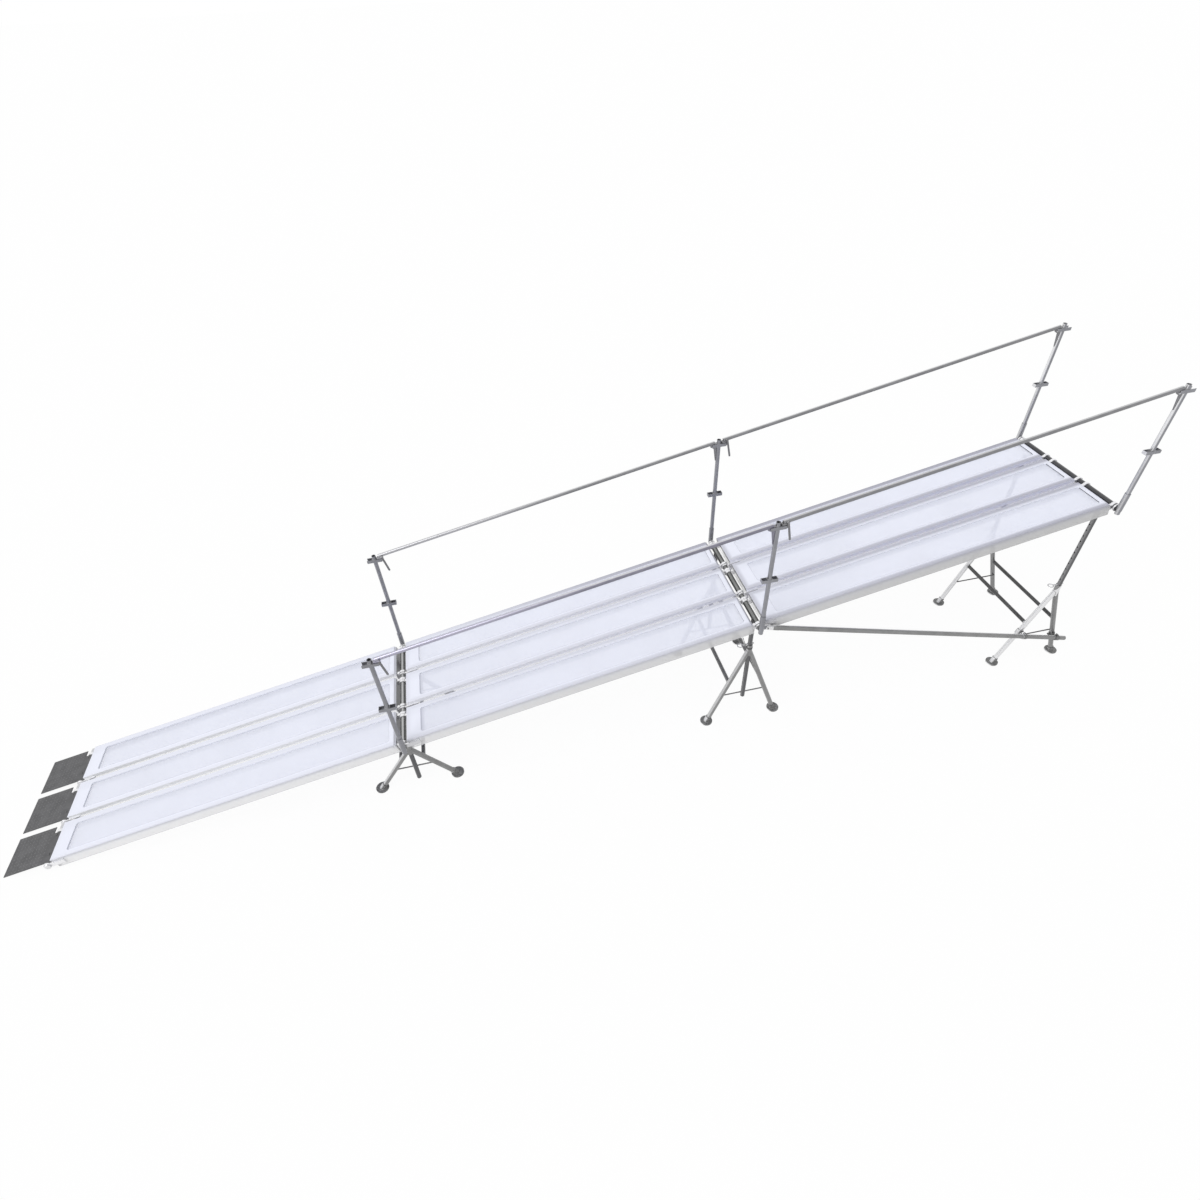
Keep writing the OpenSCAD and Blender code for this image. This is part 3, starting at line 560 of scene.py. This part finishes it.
def bead_metal(name, tint):
    """Rippled weld metal."""
    graph = material_graph(name)
    ripple = graph.noise(500.0, 3.0)
    base = graph.varied(ripple.smooth(0.3, 0.7), tint, 0.75, 1.25)
    return graph.surface(Base_Color=base, Roughness=0.4 + ripple * 0.1, Metallic=0.8,
                         Normal=graph.bump(ripple, 0.0004, 0.5))


def dress(material, *names):
    """Gives CAD nodes one material."""
    for name in names:
        node = nodes[name]
        node.data.materials.clear()
        node.data.materials.append(material)


def every(prefix):
    return sorted(name for name in nodes if name.startswith(prefix))


# ---- Mesh helpers ----


def piece(name, mesh, material, body, smooth=True):
    thing = bpy.data.objects.new(name, mesh)
    bpy.context.scene.collection.objects.link(thing)
    mesh.materials.append(material)
    for face in mesh.polygons:
        face.use_smooth = smooth
    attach(thing, body)
    return thing


def mesh_of(name, build):
    shape = bmesh.new()
    build(shape)
    mesh = bpy.data.meshes.new(name)
    shape.to_mesh(mesh)
    shape.free()
    return mesh


def square_to(axis):
    """Two directions at right angles to an axis and to each other."""
    axis = axis.normalized()
    first = axis.orthogonal().normalized()
    return first, axis.cross(first)


def ring_points(at, first, second, radius, count):
    """Points round a circle that two directions span."""
    return [at + (first * math.cos(a) + second * math.sin(a)) * radius
            for a in (math.tau * i / count for i in range(count))]


def corners(shape, points):
    return [shape.verts.new(point) for point in points]


def skin(shape, lower, upper, shift=0):
    """Faces between two rings that have the same number of corners."""
    count = len(lower)
    for i in range(count):
        after = (i + 1) % count
        shape.faces.new((lower[i], lower[after], upper[(after + shift) % count], upper[(i + shift) % count]))


def cap(shape, rings):
    """End faces of a row of rings."""
    shape.faces.new(rings[0][::-1])
    shape.faces.new(rings[-1])


def lay_bead(shape, points, radius, sides=6, closed=True):
    """A weld bead along points, with a radius that varies a little."""
    chance = random.Random(1)
    rings = []
    count = len(points)
    for i, point in enumerate(points):
        before = points[i - 1] if closed or i else point
        after = points[(i + 1) % count] if closed or i < count - 1 else point
        ahead = (after - before).normalized()
        first, second = square_to(after - before)
        if rings:
            first = (last - ahead * last.dot(ahead)).normalized()
            second = ahead.cross(first)
        last = first
        size = radius * (1 + chance.uniform(-BEAD_VARIES, BEAD_VARIES))
        rings.append(corners(shape, ring_points(point, first, second, size, sides)))
    for lower, upper in zip(rings, rings[1:]):
        skin(shape, lower, upper)
    if closed:
        lower, upper = rings[-1], rings[0]
        skin(shape, lower, upper, min(range(sides), key=lambda s: (lower[0].co - upper[s].co).length))
    else:
        cap(shape, rings)


def coped_loop(at, direction, radius, other, other_direction, other_radius, count=40):
    """Where a round tube meets another one: points on the second tube's wall."""
    direction = direction.normalized()
    other_direction = other_direction.normalized()
    across = direction - other_direction * direction.dot(other_direction)
    a = across.dot(across)
    points = []
    for start in ring_points(at, *square_to(direction), radius, count):
        offset = start - other
        offset = offset - other_direction * offset.dot(other_direction)
        b = 2 * across.dot(offset)
        c = offset.dot(offset) - other_radius ** 2
        inside = b * b - 4 * a * c
        if inside >= 0:
            points.append(start + direction * (-b - math.sqrt(inside)) / (2 * a))
    return points


def turned(shape, at, axis, profile, count=28, ring=False):
    """A shape turned round an axis from (radius, offset) pairs; a ring has no end faces and a hole instead."""
    axis = axis.normalized()
    first, second = square_to(axis)
    rings = [corners(shape, ring_points(at + axis * offset, first, second, radius, count))
             for radius, offset in profile]
    if not ring:
        cap(shape, rings)
    for lower, upper in zip(rings, rings[1:]):
        skin(shape, lower, upper)
    if ring:
        skin(shape, rings[-1], rings[0])


def cut_by_level(at, direction, radius, level, count=36):
    """Where a slanted tube meets a level face."""
    return [start + direction * (level - start.z) / direction.z
            for start in ring_points(at, *square_to(direction), radius, count)]


def above(points, level):
    """The run of a closed line that lies above a level, in order."""
    lowest = min(range(len(points)), key=lambda i: points[i].z)
    turned_line = points[lowest:] + points[:lowest]
    return [point for point in turned_line if point.z > level]


# ---- Operators ----


class RAMP_OT_deck(bpy.types.Operator):
    """Finish the planks' frames and their milky infill"""

    bl_idname = "ramp.deck"
    bl_label = "Deck planks"

    def execute(self, context):
        looks = context.scene.ramp_deck
        dress(milky("plank_panel", looks.panel[:], looks.far_side_shade[:], looks.panel_cover), *every("panel_"))
        dress(plank_shell("plank_frame", looks), *every("plank_frames_"))
        return {"FINISHED"}


class RAMP_OT_claws(bpy.types.Operator):
    """Finish the claws that hook over the cross tubes"""

    bl_idname = "ramp.claws"
    bl_label = "Claws"

    def execute(self, context):
        looks = context.scene.ramp_deck
        dress(plated("claw_metal", looks.claw[:], looks.claw_side_shade[:], dark_from=-4.4), *every("claws_"))
        return {"FINISHED"}


class RAMP_OT_transition_plates(bpy.types.Operator):
    """Finish the plates at the foot and raise the short bars of their chequer pattern"""

    bl_idname = "ramp.transition_plates"
    bl_label = "Transition plates"

    # The plate from the foot tube's axis to its tip, how much of it lies under the tube's hooks, the plain margin
    # round the bars, half its width, its underside's distance from the axis, and its thickness
    length = 0.36
    tail = 0.045
    margin = 0.012
    half_w = 0.169
    off = 0.02445
    thickness = 0.005

    # Half the length and half the width of a bar, and how deep it sits in the plate
    bar_half = (0.0115, 0.0034)
    sunk = 0.0003

    def execute(self, context):
        looks = context.scene.ramp_deck
        dress(worn_plate("chequer_plate", looks.chequer[:]), *every("transition_plate_"))
        metal = worn_plate("chequer_bar", looks.chequer_bar[:], 30.0)
        for row in ("near", "middle", "far"):
            y = middle(f"transition_plate_{row}").y
            mesh = mesh_of(f"chequer_bars_{row}", lambda shape: self.bars(shape, y, looks))
            piece(f"chequer_bars_{row}", mesh, metal, f"plate_{row}", smooth=False)
        return {"FINISHED"}

    def bars(self, shape, y, looks):
        """Bars in rows from the tube to the tip, each at right angles to its neighbours."""
        foot = STATIONS[0]
        tilt = math.asin(foot.z / math.hypot(self.length, self.off)) + math.atan(self.off / self.length)
        along = Vector((math.cos(tilt), 0.0, math.sin(tilt)))
        up = Vector((-math.sin(tilt), 0.0, math.cos(tilt)))
        start = Vector((foot.x, y, foot.z)) + up * (self.off + self.thickness)
        pitch = looks.chequer_pitch
        columns = int((self.length - self.tail - 2 * self.margin) / pitch)
        rows = int((2 * self.half_w - 2 * self.margin) / pitch)
        for i in range(columns + 1):
            for j in range(rows + 1):
                place = start - along * (self.tail + self.margin + i * pitch) + ACROSS * (j - rows / 2) * pitch
                turn = Matrix.Rotation(math.radians(45 if (i + j) % 2 else -45), 3, up)
                self.bar(shape, place, turn @ along, turn @ ACROSS, up, looks.chequer_height)

    def bar(self, shape, place, ahead, beside, up, height):
        """One bar: a six-sided foot that slopes up to a short ridge."""
        a, b = self.bar_half
        rim = corners(shape, [place + ahead * x + beside * y - up * self.sunk for x, y in
                              ((a, 0), (a / 2, b), (-a / 2, b), (-a, 0), (-a / 2, -b), (a / 2, -b))])
        front, back = corners(shape, [place + ahead * x + up * height for x in (a / 2, -a / 2)])
        for face in ((rim[0], rim[1], front), (rim[1], rim[2], back, front), (rim[2], rim[3], back),
                     (rim[3], rim[4], back), (rim[4], rim[5], front, back), (rim[5], rim[0], front)):
            shape.faces.new(face)
        shape.faces.new(rim[::-1])


class RAMP_OT_cross_tubes(bpy.types.Operator):
    """Finish the cross tubes and shoes, and add the end plugs and the stop collars"""

    bl_idname = "ramp.cross_tubes"
    bl_label = "Cross tubes"

    # Profiles as pairs of radius and offset along the tube
    plug = [(0.0205, -0.02), (0.0205, 0.0), (0.0240, 0.0), (0.0240, 0.003), (0.0222, 0.0046), (0.0120, 0.0052)]
    collar = [(0.0240, -0.006), (0.0300, -0.006), (0.0312, -0.0045), (0.0312, 0.0045), (0.0300, 0.006),
              (0.0240, 0.006)]

    def execute(self, context):
        looks = context.scene.ramp_steel
        tint, gleam = looks.cross_tube[:], looks.gleam[:]
        dress(steel("foot_tube_steel", looks.foot_tube[:], gleam, 0.25), "cross_tube_foot")
        # The first middle cross tube gets a painted highlight on top and a faint one on its uphill side
        dress(streaked("cross_tube_steel_1", tint, gleam, lit_flank=0.1), "cross_tube_1")
        # The second middle cross tube gets a painted highlight on its uphill side
        dress(streaked("cross_tube_steel_2", tint, looks.lit_flank[:], streak=0.0, lit_flank=1.0), "cross_tube_2")
        # The upper cross tube is painted dark as a reflection, with a faint painted highlight
        dress(streaked("top_tube_steel", looks.top_tube_reflection[:], shaded(gleam, 0.25)), "cross_tube_top")
        dress(cast("shoe_metal", looks.pad[:], gleam), "foot_shoes")
        plug_finish = plated("plug_finish", gleam, shaded(gleam, 0.9), 0.3)
        collar_finish = plated("collar_finish", gleam, shaded(gleam, 0.5), 0.25)
        reach = POST_Y - SOCKET_R
        for name, side in SIDES.items():
            at = Vector((STATIONS[0].x, side * reach, STATIONS[0].z))
            mesh = mesh_of(f"tube_plug_{name}", lambda shape: turned(shape, at, ACROSS * side, self.plug))
            piece(f"tube_plug_{name}", mesh, plug_finish, "walkway")
        for k, name in ((1, "far"), (2, "far"), (3, "near"), (3, "far")):
            at = Vector((STATIONS[k].x, SIDES[name] * (DECK_Y + reach) / 2, STATIONS[k].z))
            mesh = mesh_of(f"stop_collar_{k}_{name}",
                           lambda shape: turned(shape, at, ACROSS, self.collar, ring=True))
            piece(f"stop_collar_{k}_{name}", mesh, collar_finish, "walkway")
        return {"FINISHED"}


class RAMP_OT_trestles(bpy.types.Operator):
    """Finish the trestles, their pads, the masts and the locking pins"""

    bl_idname = "ramp.trestles"
    bl_label = "Trestles"

    def execute(self, context):
        looks = context.scene.ramp_steel
        gleam = looks.gleam[:]
        # Strength of each trestle's painted highlight, and how dark the painted shade on its ties is
        for k, strength, tie_shade_tone in ((1, 0.75, 1.1), (2, 0.5, 1.1), (3, 0.1, 0.6)):
            metal = steel(f"trestle_steel_{k}", looks.trestle[:], gleam, strength=strength,
                          tie_shade=shaded(looks.tie_shade, tie_shade_tone), lit_legs=k if k == 3 else None)
            dress(metal, f"trestle_{k}")
        dress(steel("mast_steel", looks.mast[:], shaded(gleam, 0.3), 0.4), *every("masts_"))
        dress(cast("pad_metal", looks.pad[:], gleam), *every("foot_pads_"))
        dress(plated("pin_metal", looks.pin[:], looks.pin[:]), *every("pin_"))
        return {"FINISHED"}


class RAMP_OT_guardrail(bpy.types.Operator):
    """Finish the posts, sockets, brackets, rails and levers"""

    bl_idname = "ramp.guardrail"
    bl_label = "Guardrail"

    # The direction towards which the rails get a painted highlight
    rail_light = (0.0, 0.1, 0.995)

    def execute(self, context):
        looks = context.scene.ramp_steel
        gleam = looks.gleam[:]
        # Strength of the painted highlight on the posts of each pair, and on each rail
        for k, strength in ((1, 0.55), (2, 0.08), (3, 0.5)):
            metal = steel(f"post_steel_{k}", looks.post[:], gleam, strength=strength, upper=POST_HIGHLIGHT)
            dress(metal, f"posts_{k}", f"sockets_{k}", f"knee_brackets_{k}")
        for name, tint, strength in (("rail_1_near", looks.rail_deck_reflection[:], 0.65),
                                     ("rail_1_far", looks.rail[:], 0.65),
                                     ("rail_2_near", looks.rail[:], 0.5),
                                     ("rail_2_far", looks.rail[:], 0.6)):
            # Painted light on the rails towards the foot of the ramp
            metal = steel(f"{name}_steel", tint, gleam, bright=self.rail_light, band=(0.75, 0.95),
                          strength=strength, pale_to=RAIL_LIT, pale_tone=shaded(tint, 2.0))
            dress(metal, name)
        dress(steel("lever_steel", shaded(looks.rail, 0.8), gleam), *every("lever_"))
        return {"FINISHED"}


class RAMP_OT_welds(bpy.types.Operator):
    """Lay weld beads where legs, ties, pads, posts and brackets meet"""

    bl_idname = "ramp.welds"
    bl_label = "Weld beads"

    # Depths below a post's top of the two edges of its head bracket
    bracket_edges = (0.032, 0.058)

    def execute(self, context):
        looks = context.scene.ramp_steel
        metal = bead_metal("weld_bead", looks.weld[:])
        for k in (1, 2, 3):
            mesh = mesh_of(f"trestle_beads_{k}", lambda shape: self.trestle_beads(shape, k, looks.bead))
            piece(f"trestle_beads_{k}", mesh, metal, f"base_{k}")
            mesh = mesh_of(f"bracket_beads_{k}", lambda shape: self.bracket_beads(shape, k, looks.bead))
            piece(f"bracket_beads_{k}", mesh, metal, "walkway")
        return {"FINISHED"}

    def trestle_beads(self, shape, k, radius):
        x, top = STATIONS[k].x, APEX[k]
        for y in (-MAST_Y, MAST_Y):
            for side in (-1, 1):
                foot = Vector((x + side * FOOT_X, y, 0.0))
                mast = Vector((x, y, top))
                leg = (mast - foot).normalized()
                line = coped_loop(foot, leg, LEG_R, mast, UP, SLEEVE_R)
                lay_bead(shape, above(line, top - SLEEVE_DOWN + radius), radius, closed=False)
                lay_bead(shape, cut_by_level(foot, leg, COLLAR_R, PAD_T), radius)
                at = Vector((x + side * FOOT_X * (1 - TIE_Z[k] / top), 0.0, TIE_Z[k]))
                outwards = ACROSS * math.copysign(1.0, y)
                lay_bead(shape, coped_loop(at, outwards, TIE_R, foot, leg, LEG_R), radius)

    def bracket_beads(self, shape, k, radius):
        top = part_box(f"posts_{k}")[1].z
        low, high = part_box(f"knee_brackets_{k}")
        for heights in ([top - depth for depth in self.bracket_edges], (high.z, low.z)):
            for side in (-1, 1):
                for height in heights:
                    at = Vector((STATIONS[k].x, side * POST_Y, height))
                    lay_bead(shape, ring_points(at, Vector((1.0, 0.0, 0.0)), ACROSS, POST_R, 28), radius)


class RAMP_OT_brace(bpy.types.Operator):
    """Finish the long brace and its couplers, and add the clamp nuts and the latch strap"""

    bl_idname = "ramp.brace"
    bl_label = "Brace"

    # The brace's bolt from the second cross tube's axis, its lower end from the upper tube's axis along the ramp,
    # outside the masts and above the floor, and where its round part starts
    bolt = (0.050, 0.015)
    lower_end = (0.338, 0.053, 0.216)
    cone_at = 0.080

    # Distance from a tube's axis to a coupler's screw, and profiles as pairs of radius and offset
    ear = 0.0342
    cone = [(0.0060, -0.052), (0.0085, -0.048), (0.0200, -0.008), (0.0212, -0.002), (0.0212, 0.0),
            (0.0175, 0.004)]
    washer = [(0.0105, 0.0070), (0.0105, 0.0082)]
    nut = [(0.0080, 0.0082), (0.0092, 0.0090), (0.0092, 0.0142), (0.0080, 0.0150)]

    # The strap at the second trestle: its band's height above the legs' meeting point, the band's profile, the
    # strap's line as pairs of distance downhill and height, and the corners of its section
    band_at = 0.022
    band = [(SLEEVE_R - 0.0005, 0.0), (SLEEVE_R + 0.0025, 0.0), (SLEEVE_R + 0.0025, 0.016),
            (SLEEVE_R - 0.0005, 0.016)]
    strap = [(0.022, 0.028), (0.030, 0.042), (0.040, 0.070), (0.053, 0.105), (0.064, 0.135), (0.070, 0.157)]
    strap_section = [(-0.002, -0.008), (0.002, -0.008), (0.002, 0.008), (-0.002, 0.008)]

    def execute(self, context):
        looks = context.scene.ramp_steel
        # Painted highlight along the brace's top, and a pale upper end
        pale_end = STATIONS[2].x + 0.1
        tube = steel("brace_steel", looks.brace[:], looks.gleam[:], 0.42, bright=(0.0, 0.3, 0.954),
                     band=(0.85, 0.99), pale_to=(pale_end - 0.001, pale_end + 0.001))
        dress(tube, "brace_tube")
        top, low = self.ends()
        run = (low - top).normalized()
        mesh = mesh_of("brace_cone", lambda shape: turned(shape, top + run * self.cone_at, run, self.cone))
        piece("brace_cone", mesh, tube, "brace")
        metal = cast("coupler_metal", looks.coupler[:], looks.gleam[:], 0.35, until=STATIONS[3].x)
        dress(metal, "brace_bolt", "tube_couplers", "leg_couplers")
        for name, side in (("downhill", -1), ("uphill", 1)):
            at = self.crossing(side)
            mesh = mesh_of(f"tube_nuts_{name}", lambda shape: self.nuts(shape, at + UP * self.ear))
            piece(f"tube_nuts_{name}", mesh, metal, "brace", smooth=False)
            ear = Vector((at.x - side * self.ear, -MAST_Y, at.z))
            mesh = mesh_of(f"leg_nuts_{name}", lambda shape: self.nuts(shape, ear))
            piece(f"leg_nuts_{name}", mesh, metal, "base_3", smooth=False)
        self.latch(looks)
        return {"FINISHED"}

    def ends(self):
        """The brace's bolt and its lower end."""
        along, above_axis = self.bolt
        past, outside, height = self.lower_end
        return (Vector((STATIONS[2].x + along, -POST_Y, STATIONS[2].z + above_axis)),
                Vector((STATIONS[3].x + past, -MAST_Y - outside, height)))

    def crossing(self, side):
        """Where the brace passes a near leg of the third trestle, seen from the side."""
        top, low = self.ends()
        lean = side * FOOT_X / APEX[3]
        run = low - top
        share_of_run = (STATIONS[3].x + side * FOOT_X - lean * top.z - top.x) / (run.x + lean * run.z)
        return top + run * share_of_run

    def nuts(self, shape, at):
        """A washer and a nut on each side of a coupler's screw."""
        for side in (-1.0, 1.0):
            turned(shape, at, ACROSS * side, self.washer, 20)
            turned(shape, at, ACROSS * side, self.nut, 6)

    def latch(self, looks):
        """A dark strap that leans out from the near sleeve of the second trestle."""
        x, y, z = STATIONS[2].x, -MAST_Y, APEX[2]

        def build(shape):
            turned(shape, Vector((x, y, z + self.band_at)), UP, self.band, ring=True)
            rings = [corners(shape, [(x - out + dx, y + dy, z + rise) for dx, dy in self.strap_section])
                     for out, rise in self.strap]
            for lower, upper in zip(rings, rings[1:]):
                skin(shape, lower, upper)
            cap(shape, rings)

        metal = cast("latch_metal", looks.mast[:], looks.coupler[:])
        piece("latch_strap", mesh_of("latch_strap", build), metal, "base_2", smooth=False)


class RAMP_OT_stage(bpy.types.Operator):
    """Make the floor, the lights, the background and the camera"""

    bl_idname = "ramp.stage"
    bl_label = "Stage"

    # Half the floor's side and its depth below the feet, the lamp's spread in degrees, and the camera's sensor and
    # clipping
    floor_half = 900.0
    floor_drop = 0.0005
    key_spread = 40.0
    sensor = 36.0
    clip = (0.05, 3000.0)

    def execute(self, context):
        scene = context.scene
        stage = scene.ramp_stage
        self.make_floor(scene, stage)
        self.make_sky(scene, stage)
        self.make_key(scene, stage)
        self.make_camera(scene, stage)
        scene.view_settings.view_transform = "Standard"
        return {"FINISHED"}

    def make_floor(self, scene, stage):
        def build(shape):
            bmesh.ops.create_grid(shape, x_segments=1, y_segments=1, size=self.floor_half)

        graph = material_graph("pale_floor")
        matt = graph.node("ShaderNodeBsdfDiffuse", {}, {"Color": stage.floor[:]})
        white = graph.node("ShaderNodeEmission", {}, {"Color": WHITE, "Strength": 1.0})
        mixed = graph.node("ShaderNodeMixShader", {}, {0: graph.seen() * stage.floor_glow, 1: matt, 2: white})
        graph.node("ShaderNodeOutputMaterial", {}, {"Surface": mixed})
        floor = bpy.data.objects.new("floor", mesh_of("floor", build))
        floor.data.materials.append(graph.owner)
        floor.location.z = -self.floor_drop
        scene.collection.objects.link(floor)

    def make_sky(self, scene, stage):
        graph = Graph(bpy.data.worlds.new("studio"))
        light = graph.node("ShaderNodeBackground", {}, {"Color": WHITE, "Strength": stage.sky})
        white = graph.node("ShaderNodeBackground", {}, {"Color": WHITE, "Strength": 1.0})
        mixed = graph.node("ShaderNodeMixShader", {}, {0: graph.seen(), 1: light, 2: white})
        graph.node("ShaderNodeOutputWorld", {}, {"Surface": mixed})
        scene.world = graph.owner

    def make_key(self, scene, stage):
        lamp = bpy.data.lights.new("key", "SUN")
        lamp.energy = stage.key
        lamp.angle = math.radians(self.key_spread)
        thing = bpy.data.objects.new("key", lamp)
        thing.rotation_euler = (-Vector(stage.key_from)).to_track_quat("-Z", "Y").to_euler()
        scene.collection.objects.link(thing)

    def make_camera(self, scene, stage):
        yaw, pitch, roll = stage.yaw, stage.pitch, stage.roll
        ahead = Vector((math.sin(yaw) * math.cos(pitch), math.cos(yaw) * math.cos(pitch), -math.sin(pitch)))
        right = Vector((math.cos(yaw), -math.sin(yaw), 0.0))
        up = right.cross(ahead)
        side = right * math.cos(roll) + up * math.sin(roll)
        top = up * math.cos(roll) - right * math.sin(roll)
        lens = bpy.data.cameras.new("view")
        lens.sensor_width = self.sensor
        lens.sensor_fit = "HORIZONTAL"
        lens.lens = stage.lens
        lens.clip_start, lens.clip_end = self.clip
        camera = bpy.data.objects.new("view", lens)
        turn = Matrix((side, top, -ahead)).transposed().to_4x4()
        camera.matrix_world = Matrix.Translation(stage.camera_at) @ turn
        scene.collection.objects.link(camera)
        scene.camera = camera


class RAMP_PT_sidebar(bpy.types.Panel):
    """Lists the ramp's groups of pieces and their colours"""

    bl_idname = "RAMP_PT_sidebar"
    bl_label = "Drive-on ramp"
    bl_space_type = "VIEW_3D"
    bl_region_type = "UI"
    bl_category = "Ramp"

    def draw(self, context):
        for name, looks, makers in GROUPS:
            box = self.layout.box()
            for setting in looks.__annotations__:
                box.prop(getattr(context.scene, name), setting)
            for maker in makers:
                box.operator(maker.bl_idname)


# The scene's property for each group of looks, and the operators that read it, in the order in which they run
GROUPS = [
    ("ramp_deck", RampDeckLooks, [RAMP_OT_deck, RAMP_OT_claws, RAMP_OT_transition_plates]),
    ("ramp_steel", RampSteelLooks, [RAMP_OT_cross_tubes, RAMP_OT_trestles, RAMP_OT_guardrail, RAMP_OT_welds,
                                    RAMP_OT_brace]),
    ("ramp_stage", RampStage, [RAMP_OT_stage]),
]


def register():
    for name, looks, makers in GROUPS:
        bpy.utils.register_class(looks)
        setattr(bpy.types.Scene, name, bpy.props.PointerProperty(type=looks))
        for maker in makers:
            bpy.utils.register_class(maker)
    bpy.utils.register_class(RAMP_PT_sidebar)


def unregister():
    bpy.utils.unregister_class(RAMP_PT_sidebar)
    for name, looks, makers in GROUPS:
        for maker in makers:
            bpy.utils.unregister_class(maker)
        delattr(bpy.types.Scene, name)
        bpy.utils.unregister_class(looks)


def main():
    register()
    for _, _, makers in GROUPS:
        for maker in makers:
            family, name = maker.bl_idname.split(".")
            getattr(getattr(bpy.ops, family), name)()


if __name__ == "__main__":
    main()
